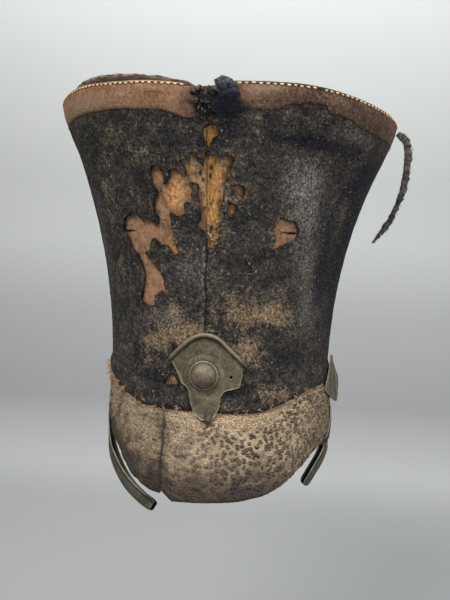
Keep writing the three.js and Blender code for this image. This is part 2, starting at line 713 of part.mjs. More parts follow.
function makePeak() {
  const turns = Array.from(
    { length: PEAK_TURN_STEPS + 1 },
    (_, i) => -PEAK_HALF_TURN + i * PEAK_TURN_STEP,
  );
  const peak = solidOf(wall(turns, PEAK_ROWS, peakOuter, peakInner, false));
  const { turn, openLeft, openRight, tip } = PEAK_SPLIT;
  const reach = 6;
  const off = (sign) => (at, row) => {
    const normal = peakNormal(at, Math.min(row, 1));
    const beyond = Math.max(row - 1, 0) * PEAK_DROP;
    return peakOuter(at, Math.min(row, 1))
      .addScaledVector(normal, sign * reach)
      .setZ(peakOuter(at, Math.min(row, 1)).z + normal.z * sign * reach - beyond);
  };
  const opening = [[turn, tip], [turn - openLeft, 1.15], [turn + openRight * 1.6, 1.15], [turn + openRight, 0.97]];
  return geometryFrom(peak.subtract(solidOf(plug(opening, off(-1), off(1)))));
}

// One brass channel: it grips the peak's edge, then springs away from it
function makeBinding({ side, grips, opensTo, loose }) {
  const lastRow = PEAK_ROWS.at(-2);
  const turns = Array.from({ length: grips + 1 }, (_, i) => side * (PEAK_HALF_TURN - i * PEAK_TURN_STEP));
  const gripped = turns.map((turn, i) => {
    const edge = peakMiddle(turn, 1);
    const inward = peakMiddle(turn, lastRow).sub(edge).normalize();
    const slip = (i / grips) * BINDING_SLIP * BINDING_WIDTH;
    return { at: edge.addScaledVector(inward, -slip), inward };
  });
  const placed = ({ x, y, down }) =>
    new THREE.Vector3((x * BASE_WIDTH) / 2, (y * BASE_LENGTH) / 2, -down * PEAK_DROP);
  const free = loose.map(placed);
  const line = new THREE.CatmullRomCurve3([...gripped.map(({ at }) => at), ...free], false, "centripetal");
  const knots = gripped.length + free.length - 1;
  const target = placed(opensTo);
  const last = gripped.at(-1);
  const looseSteps = 12;
  const loosened = Array.from({ length: looseSteps }, (_, i) => {
    const t = (i + 1) / looseSteps;
    const at = line.getPoint((grips + t * free.length) / knots);
    const inward = target.clone().sub(at).normalize();
    return { at, inward: last.inward.clone().lerp(inward, smoothstep(t, 0, 1)) };
  });
  const run = [...gripped, ...loosened];
  const samples = run.map(({ at, inward }, i) => {
    const along = run[Math.min(i + 1, run.length - 1)].at.clone().sub(run[Math.max(i - 1, 0)].at);
    along.normalize();
    const across = inward.clone().addScaledVector(along, -inward.dot(along)).normalize();
    return { at, across, over: new THREE.Vector3().crossVectors(along, across) };
  });
  const back = -(GRIP_GAP + BINDING_WALL);
  const front = back + BINDING_WIDTH;
  const half = PEAK_WALL / 2 + GRIP_GAP;
  const full = half + BINDING_WALL;
  const section = [
    [back, -full], [front, -full], [front, -half], [-GRIP_GAP, -half],
    [-GRIP_GAP, half], [front, half], [front, full], [back, full],
  ];
  return bar(samples, section);
}

// A point on the face that the plate lies along, from its middle, `out` outside that face
function platePoint(across, up, out) {
  const level = share(PLATE_CENTRE_HEIGHT + up);
  const lowEdge = GAP + PEAK_ROOT_WALL + GAP + CLOTH_WALL + GAP;
  const highEdge = GAP + STRIP_WALL + GAP + CLOTH_WALL + GAP;
  const rise = THREE.MathUtils.clamp(up / PLATE_HEIGHT + 0.5, 0, 1);
  const belowFelt = Math.max(-level * BODY_HEIGHT, 0) * PLATE_FOOT_LEAN;
  const seat = THREE.MathUtils.lerp(lowEdge + GAP, highEdge, rise) + belowFelt;
  const turn = THREE.MathUtils.radToDeg(Math.asin(across / (halfWidth(level) + seat)));
  return bodyPoint(turn, level, seat + out);
}

// A round tube through points, with the given number of sides
function tube(points, radius, sides, steps) {
  const line = new THREE.CatmullRomCurve3(points);
  const section = Array.from({ length: sides }, (_, i) => {
    const angle = (2 * Math.PI * i) / sides;
    return [radius * Math.cos(angle), radius * Math.sin(angle)];
  });
  const samples = Array.from({ length: steps + 1 }, (_, i) => {
    const along = line.getTangent(i / steps);
    const over = new THREE.Vector3(0, -1, 0);
    const across = new THREE.Vector3().crossVectors(over, along).normalize();
    over.crossVectors(along, across);
    return { at: line.getPoint(i / steps), across, over };
  });
  return bar(samples, section);
}

function makeFrontPlate() {
  const scaled = ({ across, up }) => [(across * PLATE_WIDTH) / 2, up * PLATE_HEIGHT];
  const face = (out) => (along, { up, left, right }) => {
    const across = THREE.MathUtils.lerp(left, right, along);
    return platePoint((across * PLATE_WIDTH) / 2, up * PLATE_HEIGHT, out);
  };
  const sheet = wall([0, 0.2, 0.4, 0.6, 0.8, 1], PLATE_ROWS, face(PLATE_WALL), face(0), false);
  const ribLine = PLATE_RIB.map(scaled).map(([across, up]) => platePoint(across, up, RIB_RADIUS));
  const rib = tube(ribLine, RIB_RADIUS, 8, 14);
  const foot = platePoint(PLATE_WIDTH * 0.115, -PLATE_HEIGHT * 0.53, PLATE_WALL / 2);
  const hook = new THREE.BoxGeometry(HOOK_WIDTH, PLATE_WALL * 1.6, HOOK_LENGTH);
  hook.rotateX(radians(-24));
  hook.translate(foot.x, foot.y - HOOK_LENGTH * 0.2, foot.z - HOOK_LENGTH * 0.3);
  const [holeAcross, holeUp] = scaled(RIVET_HOLE);
  const hole = platePoint(holeAcross, holeUp, 0);
  const drill = new THREE.CylinderGeometry(RIVET_HOLE_RADIUS, RIVET_HOLE_RADIUS, 8 * PLATE_WALL, 8);
  drill.translate(hole.x, hole.y, hole.z);
  return geometryFrom(
    solidOf(sheet).add(solidOf(rib)).add(solidOf(hook)).subtract(solidOf(drill)),
  );
}

// The domed button in its raised ring, its axis square to the plate
function makeButton() {
  const ring = BUTTON_RADIUS * 0.1;
  const dome = BUTTON_RADIUS - 2 * ring;
  const profile = [new THREE.Vector2(0, 0), new THREE.Vector2(BUTTON_RADIUS, 0)];
  profile.push(new THREE.Vector2(BUTTON_RADIUS, ring), new THREE.Vector2(BUTTON_RADIUS - ring, 2 * ring));
  for (const angle of [0, 15, 30, 45, 60, 75]) {
    const at = radians(angle);
    profile.push(
      new THREE.Vector2(dome * Math.cos(at), ring + (BUTTON_HEIGHT - ring) * Math.sin(at)),
    );
  }
  profile.push(new THREE.Vector2(0, BUTTON_HEIGHT));
  const button = new THREE.LatheGeometry(profile, 20);
  button.rotateX(radians(180));
  const seat = platePoint(0, 0, PLATE_WALL + GAP);
  button.translate(seat.x, seat.y, seat.z);
  return button;
}

function makeSidePlate() {
  const seat = GAP + PEAK_ROOT_WALL + GAP + CLOTH_WALL + GAP;
  const point = (reach, { up, front, rear, lift }, out) => {
    const along = THREE.MathUtils.lerp(front, rear, reach);
    const level = share(SIDE_PLATE_CENTRE_HEIGHT + SIDE_PLATE_HEIGHT * up);
    const turn = SIDE_PLATE_TURN + THREE.MathUtils.radToDeg((along * SIDE_PLATE_WIDTH) / BASE_LENGTH);
    const standOff = (SIDE_PLATE_LIFT * lift * (1 + along)) / 2;
    return bodyPoint(turn, level, seat + standOff + out);
  };
  return wall(
    [0, 0.25, 0.5, 0.75, 1],
    SIDE_PLATE_ROWS,
    (reach, row) => point(reach, row, PLATE_WALL),
    (reach, row) => point(reach, row, 0),
    false,
  );
}

function makeTornStrip() {
  const half = TORN_STRIP_WIDTH / 2;
  const seat = GAP + BAND_WALL + BAND_CROWNING + TORN_STRIP_WALL;
  const top = bandLow(TORN_STRIP_TURN) + share(BAND_HEIGHT * 0.75);
  const start = bodyPoint(TORN_STRIP_TURN, top, seat);
  const angle = radians(TORN_STRIP_TURN);
  const outward = new THREE.Vector3(Math.sin(angle), -Math.cos(angle), 0);
  const round = new THREE.Vector3(Math.cos(angle), Math.sin(angle), 0);
  const places = TORN_STRIP_RUN.map(({ out, down }) =>
    start
      .clone()
      .addScaledVector(outward, out * TORN_STRIP_LENGTH)
      .setZ(start.z - down * TORN_STRIP_LENGTH),
  );
  const line = new THREE.CatmullRomCurve3(places);
  const steps = TORN_STRIP_RUN.map(({ width }, i) => {
    const along = line.getTangent(i / (places.length - 1));
    const across = new THREE.Vector3().crossVectors(along, round).normalize();
    return { at: places[i], across, over: round, scale: width };
  });
  const thin = TORN_STRIP_WALL / 2;
  return bar(steps, [[-half, -thin], [half, -thin], [half, thin], [-half, thin]]);
}

function makeWool() {
  const seat = GAP + STRIP_WALL + GAP + BAND_WALL + BAND_CROWNING + GAP;
  return plug(
    WOOL_OUTLINE,
    (turn, up) => bodyPoint(turn, up, seat),
    (turn, up) => bodyPoint(turn, up, seat + WOOL_THICKNESS),
  );
}

const hat = new THREE.Group();
hat.name = "shako";
function add(name, geometry, material) {
  const mesh = new THREE.Mesh(geometry, material);
  mesh.name = name;
  hat.add(mesh);
}
add("body_shell", makeShell(), MATERIALS.shellLeather);
add("cloth_cover", makeCover(), MATERIALS.felt);
add("seam_strip", makeSeamStrip(), MATERIALS.seamLeather);
add("top_band", makeBand(), MATERIALS.bandLeather);
add("crown", makeCrown(), MATERIALS.bandLeather);
add("peak", makePeak(), MATERIALS.peakLeather);
add("peak_binding_left", makeBinding(LEFT_BINDING), MATERIALS.brass);
add("peak_binding_right", makeBinding(RIGHT_BINDING), MATERIALS.brass);
add("front_plate", makeFrontPlate(), MATERIALS.brass);
add("front_button", makeButton(), MATERIALS.brass);
add("side_plate", makeSidePlate(), MATERIALS.brass);
add("torn_strip", makeTornStrip(), MATERIALS.seamLeather);
add("wool_remnant", makeWool(), MATERIALS.wool);

export default hat;
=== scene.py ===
import math

import bpy
import numpy as np
from mathutils import Matrix, Vector


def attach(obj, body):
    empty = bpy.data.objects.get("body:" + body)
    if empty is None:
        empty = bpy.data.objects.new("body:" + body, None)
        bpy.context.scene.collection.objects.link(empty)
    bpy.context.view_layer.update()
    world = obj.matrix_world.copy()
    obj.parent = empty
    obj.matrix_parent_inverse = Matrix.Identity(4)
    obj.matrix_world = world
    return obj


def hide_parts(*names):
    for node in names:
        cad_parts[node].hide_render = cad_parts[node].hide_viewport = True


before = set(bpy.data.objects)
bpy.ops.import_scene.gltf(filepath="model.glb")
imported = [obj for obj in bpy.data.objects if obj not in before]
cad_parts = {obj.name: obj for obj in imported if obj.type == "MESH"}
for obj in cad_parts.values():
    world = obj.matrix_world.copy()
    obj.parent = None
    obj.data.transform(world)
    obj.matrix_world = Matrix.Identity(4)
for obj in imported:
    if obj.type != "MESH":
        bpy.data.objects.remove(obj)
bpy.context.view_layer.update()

# Places are in millimetres in the part's own frame, and go to metres when a mesh is made
MM = 0.001
# A distance in millimetres that counts as far from every edge
FAR = 9.0

# Sizes in millimetres and turns in degrees, as in the part's source
BODY_HEIGHT = 197
BASE_WIDTH = 159
BASE_LENGTH = 191
RIM_WIDTH = 238
RIM_LENGTH = 248
FLARE_POWER = 2.4
RIM_LEAN = 3.2
RIM_DROP = 4.6
SIDE_SAG = 2.2
EASE_FROM = 0.86
EASE_RATE = 6
GAP = 0.3
SHELL_WALL = 2
STRIP_WALL = 0.6
CLOTH_WALL = 1.6
BAND_WALL = 1.3
BAND_CROWNING = 0.6
CROWN_WALL = 1.8
PEAK_WALL = 2.2
PEAK_ROOT_WALL = 1.2
BAND_HEIGHT = 16
SHELL_BELOW_RIM = 1.2
CROWN_SINK = 14
CROWN_DISH = 4
FLANGE_RISE = 5.2
SLIT_HEIGHT = 1.4
PEAK_OUT = 28
PEAK_DROP = 47
PEAK_ROOT = 9
PEAK_ROOT_RAMP = 6
PEAK_CREASE_DEPTH = 1.6
PEAK_HALF_TURN = 84
PEAK_COLUMNS = 36
STRIP_HALF_TURN = 6
TURN_STEP = 6
BINDING_WIDTH = 8
BINDING_WALL = 0.6
GRIP_GAP = 0.5
BINDING_SLIP = 0.7
PLATE_WIDTH = 44
PLATE_HEIGHT = 51
PLATE_WALL = 1
PLATE_CENTRE_HEIGHT = 24.3
PLATE_FOOT_LEAN = 0.4
RIB_RADIUS = 1.5
BUTTON_RADIUS = 8.8
BUTTON_HEIGHT = 6
SIDE_PLATE_WIDTH = 26
SIDE_PLATE_HEIGHT = 36
SIDE_PLATE_LIFT = 6
SIDE_PLATE_CENTRE_HEIGHT = 8.5
SIDE_PLATE_TURN = 78
TORN_STRIP_LENGTH = 84
TORN_STRIP_WIDTH = 4.6
TORN_STRIP_WALL = 1.2
TORN_STRIP_TURN = 86
WOOL_THICKNESS = 1.8
# How many millimetres a degree of turn is worth near the front
MM_PER_DEGREE = 1.72
PEAK_MM_PER_DEGREE = 1.95
# The peak's length from the felt to its edge
PEAK_LENGTH = 62
# How far from the shell's face things lie that sit on the seam strip or on the felt over the peak's root
ON_STRIP = GAP + STRIP_WALL + GAP
ON_ROOT_FELT = GAP + PEAK_ROOT_WALL + GAP + CLOTH_WALL
# How far the wear of the front reaches round, in degrees
FRONT_REACH = 60

# Waves of the rim: turn, reach in degrees, how far it sinks
RIM_WAVES = [(-47, 16, -1.8), (-4, 9, 2.4), (31, 20, -2.6)]
# Dents: turn, share of the height, reach round, reach up, depth as a share of the rim's width
DENTS = [
    (40, 0.81, 18, 0.07, 0.012),
    (58, 0.64, 9, 0.16, 0.012),
    (37, 0.62, 7, 0.2, -0.006),
    (-45, 0.75, 14, 0.12, 0.006),
    (-92, 0.82, 30, 0.09, 0.007),
    (20, 0.35, 14, 0.12, 0.004),
    (150, 0.6, 22, 0.16, 0.01),
    (-130, 0.45, 20, 0.18, 0.008),
]
# Lower edge of the felt: turn, share of the height
CLOTH_LOW = [
    (-180, 0), (-112, 0), (-90, 0.03), (-74, 0.046), (-58, 0.044), (-42, 0.032), (-30, 0.008),
    (-6, 0.008), (9, 0.002), (24, -0.002), (32, 0.008), (42, 0.028), (53, 0.048), (74, 0.046),
    (90, 0.03), (112, 0), (180, 0),
]
# Lower edge of the band: turn, share of the band's height
BAND_LOW = [
    (-180, 1), (-54, 1), (-27, 0.94), (-12, 1.02), (-5, 1.22), (1, 1.06), (9, 0.98), (20, 0.92),
    (22, 0.78), (23, 0.68), (26, 0.66), (29, 0.6), (34.5, 0.58), (35.2, 0.78), (41, 0.84), (46, 0.82),
    (48, 0.96), (60, 1), (180, 1),
]
# How far the crown's flange stands above the rim: turn, share of FLANGE_RISE
FLANGE_TOP = [
    (-180, 0.1), (-75, 0.1), (-56, 0.3), (-46, 0.8), (-36, 1), (-24, 0.9), (-14, 0.65), (-6, 0.35),
    (-2, -0.5), (1, -0.6), (6, -0.1), (14, 0.16), (30, 0.22), (70, 0.25), (180, 0.12),
]
# Holes worn through the felt, each a ring of (turn, share of the height)
FELT_HOLES = {
    "upper_lobe": [
        (-20.5, 0.75), (-19, 0.765), (-16.5, 0.765), (-15.5, 0.745), (-15.5, 0.72), (-17.5, 0.695),
        (-16, 0.66), (-14.5, 0.63), (-14, 0.58), (-20, 0.585), (-19.5, 0.61), (-21, 0.63),
        (-20.5, 0.66), (-18.5, 0.69), (-20.5, 0.71),
    ],
    "left_patch": [
        (-39, 0.575), (-36.5, 0.605), (-31.5, 0.625), (-29, 0.62), (-27.5, 0.61), (-24, 0.61),
        (-20.5, 0.59), (-14, 0.59), (-13, 0.53), (-11.5, 0.5), (-14, 0.5), (-16, 0.525),
        (-19, 0.525), (-22, 0.545), (-23.5, 0.54), (-24.5, 0.505), (-28, 0.5), (-30, 0.485),
        (-33.5, 0.5), (-36.5, 0.54),
    ],
    "tail": [
        (-31.5, 0.49), (-28, 0.505), (-26.5, 0.485), (-22.5, 0.465), (-20, 0.44), (-18.5, 0.415),
        (-18, 0.375), (-20.5, 0.38), (-23.5, 0.365), (-24, 0.33), (-27, 0.325), (-31.5, 0.34),
        (-31, 0.365), (-29, 0.405), (-28.5, 0.44),
    ],
    "tan_patch": [
        (-16, 0.705), (-13.5, 0.73), (-13, 0.755), (-11, 0.76), (-8.5, 0.745), (-8, 0.735),
        (-5.5, 0.735), (-5.5, 0.69), (-6, 0.66), (-8, 0.66), (-8.5, 0.625), (-11, 0.615),
        (-15, 0.63), (-16, 0.66),
    ],
    "tan_top": [
        (-9.5, 0.785), (-6, 0.79), (-5, 0.81), (-3.5, 0.81), (-3, 0.785), (-1, 0.76),
        (-1, 0.72), (-3.5, 0.715), (-5.5, 0.72), (-7.5, 0.73), (-7.5, 0.76),
    ],
    "gold_patch": [
        (-1, 0.795), (2.5, 0.8), (4, 0.775), (5.5, 0.74), (5.5, 0.675), (4, 0.645),
        (4.5, 0.595), (4, 0.545), (2.5, 0.525), (-0.5, 0.52), (-0.5, 0.57), (-4, 0.59),
        (-4, 0.6), (-2.5, 0.615), (-2.5, 0.65), (-3.5, 0.69), (-3.5, 0.725), (-1.5, 0.73),
    ],
    "gold_right": [
        (3.5, 0.79), (7, 0.8), (8, 0.785), (6.5, 0.765), (8, 0.74), (6, 0.725), (4, 0.75),
    ],
    "heart": [(8, 0.715), (10, 0.715), (12.5, 0.71), (12.5, 0.69), (11.5, 0.68), (9.5, 0.69)],
    "drop": [
        (6.5, 0.67), (8, 0.66), (10, 0.66), (10.5, 0.645), (9, 0.625), (7, 0.62), (7.5, 0.65),
    ],
    "right_patch": [
        (26.5, 0.625), (31, 0.61), (32.5, 0.62), (35.5, 0.58), (34.5, 0.56), (30, 0.54),
        (27.5, 0.525), (25, 0.525), (26.5, 0.55), (24.5, 0.585),
    ],
    "keyhole": [
        (0.3, 0.885), (2, 0.885), (3, 0.872), (3.1, 0.857), (2.0, 0.846), (0.8, 0.84),
        (0.3, 0.81), (-0.5, 0.81), (-0.4, 0.838), (-1.2, 0.85), (-1.7, 0.868), (-1, 0.88),
    ],
    "bridge": [(-17.6, 0.705), (-15, 0.715), (-13.5, 0.67), (-14, 0.6), (-16, 0.6), (-17, 0.65)],
    "spot": [
        (-19, 0.09), (-17, 0.105), (-16.5, 0.115), (-14, 0.12), (-12.5, 0.1), (-10.5, 0.09),
        (-15.5, 0.08), (-18, 0.08),
    ],
}
# The open front seam of the felt: a ring of (turn, share of the height)
SEAM_SLIT = [(-0.85, 0.5), (-0.25, 0.5), (-0.25, 0.82), (-0.85, 0.82)]
# The slits through the shell: from turn, to turn, share of the height
SHELL_SLITS = [(-40, -33, 0.565), (29, 36, 0.578)]
# The tear of the band: a ring of (turn, share of the height)
BAND_TEAR = [
    (-2.2, 1.05), (-2.0, 0.985), (-4.7, 0.9735), (-4.4, 0.968), (-2.9, 0.962), (-2.6, 0.95), (-3.3, 0.94),
    (-3.3, 0.928), (-2.2, 0.912), (-1.4, 0.898), (0.2, 0.898), (1.4, 0.915), (1.9, 0.935), (1.2, 0.95),
    (2.0, 0.962), (4.4, 0.968), (4.0, 0.973), (1.8, 0.982), (2.2, 0.99), (1.4, 1.05),
]
# The peak's edge: turn, share of PEAK_OUT, share of PEAK_DROP
PEAK_EDGE = [
    (-90, 0, 0.2), (-84, 0.01, 0.42), (-72, 0.03, 0.64), (-60, 0.06, 0.75), (-45, 0.16, 0.86),
    (-30, 0.42, 0.96), (-19, 0.64, 1.04), (-14.5, 0.74, 1.05), (-12.5, 0.84, 1), (-8, 0.96, 1.06),
    (0, 1, 1.03), (14, 0.9, 1.015), (28, 0.66, 0.98), (40, 0.4, 0.96), (52, 0.24, 0.93),
    (66, 0.15, 0.86), (78, 0.12, 0.72), (84, 0.1, 0.5), (90, 0.08, 0.2),
]
# How the peak bends from the felt to its edge: places of a curve's two middle points
PEAK_BEND = {"first_out": 0.06, "first_down": 0.16, "second_out": 0.78, "second_down": 0.5}
PEAK_SPLIT_TURN = -13.6
PEAK_CREASE_REACH = 3
# The open V of the split: a ring of (turn, row)
PEAK_SPLIT = [(-13.6, 0.84), (-14.3, 1.15), (-11.4, 1.15), (-12.2, 0.97)]
# Loose ends of the two channels: shares of the base's half width, half length and PEAK_DROP
LEFT_BINDING = {
    "side": -1,
    "grips": 1,
    "opens_to": (0, -0.4, 0),
    "loose": [
        (-0.985, -0.3, 0.86), (-0.935, -0.42, 1.09), (-0.845, -0.53, 1.28), (-0.715, -0.66, 1.42),
        (-0.58, -0.76, 1.51), (-0.45, -0.86, 1.55),
    ],
}
RIGHT_BINDING = {
    "side": 1,
    "grips": 2,
    "opens_to": (0.2, -1.1, 0),
    "loose": [(1.02, -0.29, 0.86), (0.975, -0.37, 1.04), (0.91, -0.42, 1.2), (0.845, -0.46, 1.37)],
}
# The plate: share of its height, and its left and right edges as shares of half its width
PLATE_ROWS = [
    (-0.55, -0.02, 0.24), (-0.5, -0.2, 0.36), (-0.42, -0.29, 0.45), (-0.34, -0.36, 0.49),
    (-0.26, -0.39, 0.5), (-0.19, -0.42, 0.6), (-0.15, -0.5, 0.98), (-0.11, -0.64, 1.02),
    (-0.03, -0.7, 1.06), (0.1, -0.88, 1.06), (0.14, -0.92, 1.02), (0.3, -0.68, 0.7),
    (0.42, -0.4, 0.42), (0.49, -0.1, 0.1),
]
# The rib's run and the rivet hole: share of half the plate's width, share of its height
PLATE_RIB = [
    (-1.12, 0.12), (-0.7, 0.32), (-0.35, 0.455), (0, 0.5), (0.35, 0.46), (0.72, 0.31), (1.16, 0.12),
]
RIVET_HOLE = (0.76, -0.02)
RIVET_HOLE_RADIUS = 1
# The rib's line in millimetres from the plate's centre: sideways, up
RIB_LINE = [(0, 25.5), (7.7, 23.2), (15.4, 16.3), (25, 6)]
# The side fitting: share of its height, front edge, rear edge, how far the rear stands off
SIDE_PLATE_ROWS = [
    (-0.5, 0.55, 0.75, 1), (-0.42, 0.1, 0.95, 1), (-0.24, -0.75, 1, 1), (-0.16, -1, 1, 1),
    (0, -0.85, 0.95, 0.9), (0.2, -0.5, 0.7, 0.55), (0.36, -0.35, 0.4, 0.25), (0.5, -0.1, 0.12, 0.1),
]
# The torn strip: shares of its length out and down, share of its width
TORN_STRIP_RUN = [
    (0, 0, 0.8), (0.07, 0.06, 1), (0.094, 0.16, 1), (0.09, 0.32, 0.95), (0.07, 0.465, 0.9),
    (0.036, 0.585, 0.8), (-0.013, 0.705, 0.8), (-0.07, 0.8, 0.8), (-0.12, 0.87, 0.55),
    (-0.17, 0.935, 0.15),
]
# The wool's outline: a ring of (turn, share of the height)
WOOL_OUTLINE = [
    (1.6, 1.004), (3.4, 1.012), (5.6, 1.006), (7.4, 0.985), (8.2, 0.962), (8, 0.94), (9, 0.918),
    (6, 0.908), (3, 0.912), (1.2, 0.925), (1, 0.945), (2.6, 0.958), (3, 0.975),
]


# Small functions of numbers
def smoothstep(x, low, high):
    t = np.clip((x - low) / (high - low), 0, 1)
    return t * t * (3 - 2 * t)


def bump_at(distance, reach):
    return np.exp(-((distance / reach) ** 2))


def table_at(table, column, place):
    """A column of a table, between the rows whose first numbers lie round a place."""
    return np.interp(place, [row[0] for row in table], [row[column] for row in table])


def uneven(spans):
    """Values whose spacing changes: spans of (from, to, spacing)."""
    parts = [np.linspace(a, b, max(int(round((b - a) / step)), 1), endpoint=False) for a, b, step in spans]
    return np.concatenate(parts + [[spans[-1][1]]])


def share(length):
    """A height in millimetres as a share of the body's height."""
    return length / BODY_HEIGHT


def unit(vectors):
    return vectors / np.maximum(np.linalg.norm(vectors, axis=-1, keepdims=True), 1e-9)


def hashed(cell, seed):
    """A number from 0 to 1 for each whole-number cell."""
    h = np.full(cell.shape[:-1], seed * 2654435761 % 2**32, np.uint64)
    for axis, prime in zip(range(cell.shape[-1]), (73856093, 19349663, 83492791)):
        h ^= (cell[..., axis].astype(np.int64).astype(np.uint64) * np.uint64(prime)) & np.uint64(0xFFFFFFFF)
        h = (h ^ (h >> np.uint64(13))) * np.uint64(1274126177) & np.uint64(0xFFFFFFFF)
    return ((h ^ (h >> np.uint64(16))) & np.uint64(0xFFFF)) / 65535.0


def noise(points, size, seed=0):
    """Smooth noise from -1 to 1 over points of 2 or 3 numbers, with lumps of the given size."""
    q = np.asarray(points, float) / size
    low = np.floor(q)
    f = q - low
    f = f * f * (3 - 2 * f)
    total = 0
    for corner in np.ndindex(*(2,) * q.shape[-1]):
        step = np.array(corner)
        weight = np.prod(np.where(step, f, 1 - f), axis=-1)
        total = total + weight * hashed(low + step, seed)
    return 2 * total - 1


def rough(points, size, seed=0, layers=3):
    """Layers of noise, each half the size and half the strength of the last."""
    total = sum(noise(points, size / 2**k, seed + k) / 2**k for k in range(layers))
    return total / (2 - 2 ** (1 - layers))


def cells(points, size, seed=0):
    """For flat points: distance to the nearest and next cell centre, and a number for the cell."""
    q = np.asarray(points, float) / size
    base = np.floor(q)
    near = np.full(q.shape[:-1], 9.0)
    next_near = near.copy()
    mark = np.zeros_like(near)
    for i in (-1, 0, 1):
        for j in (-1, 0, 1):
            cell = base + np.array([i, j])
            centre = cell + 0.5 + 0.42 * (2 * np.stack([hashed(cell, seed), hashed(cell, seed + 7)], -1) - 1)
            away = np.linalg.norm(q - centre, axis=-1)
            closer = away < near
            next_near = np.where(closer, near, np.minimum(next_near, away))
            mark = np.where(closer, hashed(cell, seed + 13), mark)
            near = np.where(closer, away, near)
    return near, next_near, mark


# The hat's body, as in the part's source
def dent_depth(turn, up):
    total = 0
    for at, height, wide, tall, deep in DENTS:
        away = np.abs(turn - at)
        away = np.minimum(away, 360 - away)
        total = total + deep * RIM_WIDTH * bump_at(away, wide) * bump_at(up - height, tall)
    return total


def flare_at(up):
    def plain(level):
        return level**FLARE_POWER - EASE_RATE * np.maximum(level - EASE_FROM, 0) ** 2

    return plain(np.maximum(up, 0)) / plain(1)


def half_width(up):
    return (BASE_WIDTH + (RIM_WIDTH - BASE_WIDTH) * flare_at(up)) / 2


def half_length(up):
    return (BASE_LENGTH + (RIM_LENGTH - BASE_LENGTH) * flare_at(up)) / 2


def body_point(turn, up, out):
    """Points `out` millimetres outside the shell's outer face."""
    turn, up, out = np.broadcast_arrays(*(np.asarray(v, float) for v in (turn, up, out)))
    level = np.maximum(up, 0)
    angle = np.radians(turn)
    away = out - dent_depth(turn, up)
    x = (half_width(up) + away) * np.sin(angle) + RIM_LEAN * level
    y = -(half_length(up) + away) * np.cos(angle)
    waves = sum(sink * bump_at(turn - at, wide) for at, wide, sink in RIM_WAVES)
    side_sag = SIDE_SAG * np.sin(angle) ** 4
    drop = RIM_DROP * x / (RIM_WIDTH / 2)
    z = BODY_HEIGHT * up - (waves + side_sag) * level**3 - drop * level
    return np.stack([x, y, z], axis=-1)


def facing(turn, up):
    """The way the body faces at a place."""
    return unit(body_point(turn, up, 1) - body_point(turn, up, 0))


def cloth_low(turn):
    return table_at(CLOTH_LOW, 1, turn)


def band_low(turn):
    return 1 - table_at(BAND_LOW, 1, turn) * share(BAND_HEIGHT)


def band_edge(turn):
    """The band's worn lower edge as it looks, ragged where the front is worn."""
    ragged = rough(flat(turn, 0 * turn + 9), 4.0, 23, 4) * bump_at(turn - 20, FRONT_REACH)
    return band_low(turn) + share(1.3) * ragged


def cloth_stand_off(turn, up):
    side = np.abs(turn)
    on_strip = 1 - smoothstep(side, STRIP_HALF_TURN, STRIP_HALF_TURN + TURN_STEP)
    above_root = (up - cloth_low(turn)) * BODY_HEIGHT - PEAK_ROOT
    on_root = (1 - smoothstep(above_root, GAP, PEAK_ROOT_RAMP)) * (
        1 - smoothstep(side, PEAK_HALF_TURN + 1, PEAK_HALF_TURN + 2 * TURN_STEP)
    )
    return GAP + np.maximum(on_strip * (STRIP_WALL + GAP), on_root * (PEAK_ROOT_WALL + GAP))


def flat(turn, up):
    """Flat millimetres over the front, for distances and noise."""
    return np.stack(np.broadcast_arrays(turn * MM_PER_DEGREE, up * BODY_HEIGHT), axis=-1)


def outside_distance(turn, up, outline):
    """Millimetres outside an outline of (turn, up), less than 0 inside it."""
    p = flat(turn, up)
    ring = np.array([flat(*corner) for corner in outline])
    nearest = np.full(p.shape[:-1], 1e9)
    inside = np.zeros(p.shape[:-1], bool)
    for a, b in zip(ring, np.roll(ring, -1, axis=0)):
        side = b - a
        t = np.clip(((p - a) @ side) / (side @ side), 0, 1)
        nearest = np.minimum(nearest, np.linalg.norm(p - a - t[..., None] * side, axis=-1))
        crosses = (a[1] > p[..., 1]) != (b[1] > p[..., 1])
        slope = (b[0] - a[0]) / (b[1] - a[1] if b[1] != a[1] else 1e-9)
        inside ^= crosses & (p[..., 0] < a[0] + (p[..., 1] - a[1]) * slope)
    return np.where(inside, -nearest, nearest)


def holes_distance(turn, up):
    """Millimetres from the nearest hole or open seam in the felt, less than 0 inside."""
    away = np.full(np.broadcast(turn, up).shape, 1e9)
    for outline in FELT_HOLES.values():
        away = np.minimum(away, outside_distance(turn, up, outline))
    return np.minimum(away, outside_distance(turn, up, SEAM_SLIT) + 0.25)


def tear_distance(turn, up):
    """Millimetres outside the tear of the band, less than 0 inside it and at most FAR."""
    return np.minimum(outside_distance(turn, up, BAND_TEAR), FAR)


def patch_mask(turn, up, patches):
    """Sum of soft spots: turn, share of the height, reach round, reach up, strength."""
    total = 0
    for at, height, wide, tall, strength in patches:
        total = total + strength * bump_at(turn - at, wide) * bump_at(up - height, tall)
    return total


# Meshes
def new_piece(name, points, faces, material, replaced=(), masks=None, sharp_degrees=50):
    """A mesh object that rides on the hat; points are in millimetres."""
    mesh = bpy.data.meshes.new(name)
    mesh.from_pydata((np.asarray(points) * MM).tolist(), [], faces)
    mesh.update()
    mesh.shade_smooth()
    mesh.set_sharp_from_angle(angle=math.radians(sharp_degrees))
    for mask, values in (masks or {}).items():
        layer = mesh.attributes.new(mask, "FLOAT", "POINT")
        layer.data.foreach_set("value", np.asarray(values, np.float32))
    mesh.materials.append(MATERIALS[material])
    piece = bpy.data.objects.new(name, mesh)
    bpy.context.scene.collection.objects.link(piece)
    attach(piece, "root")
    if replaced:
        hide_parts(*replaced)
    return piece


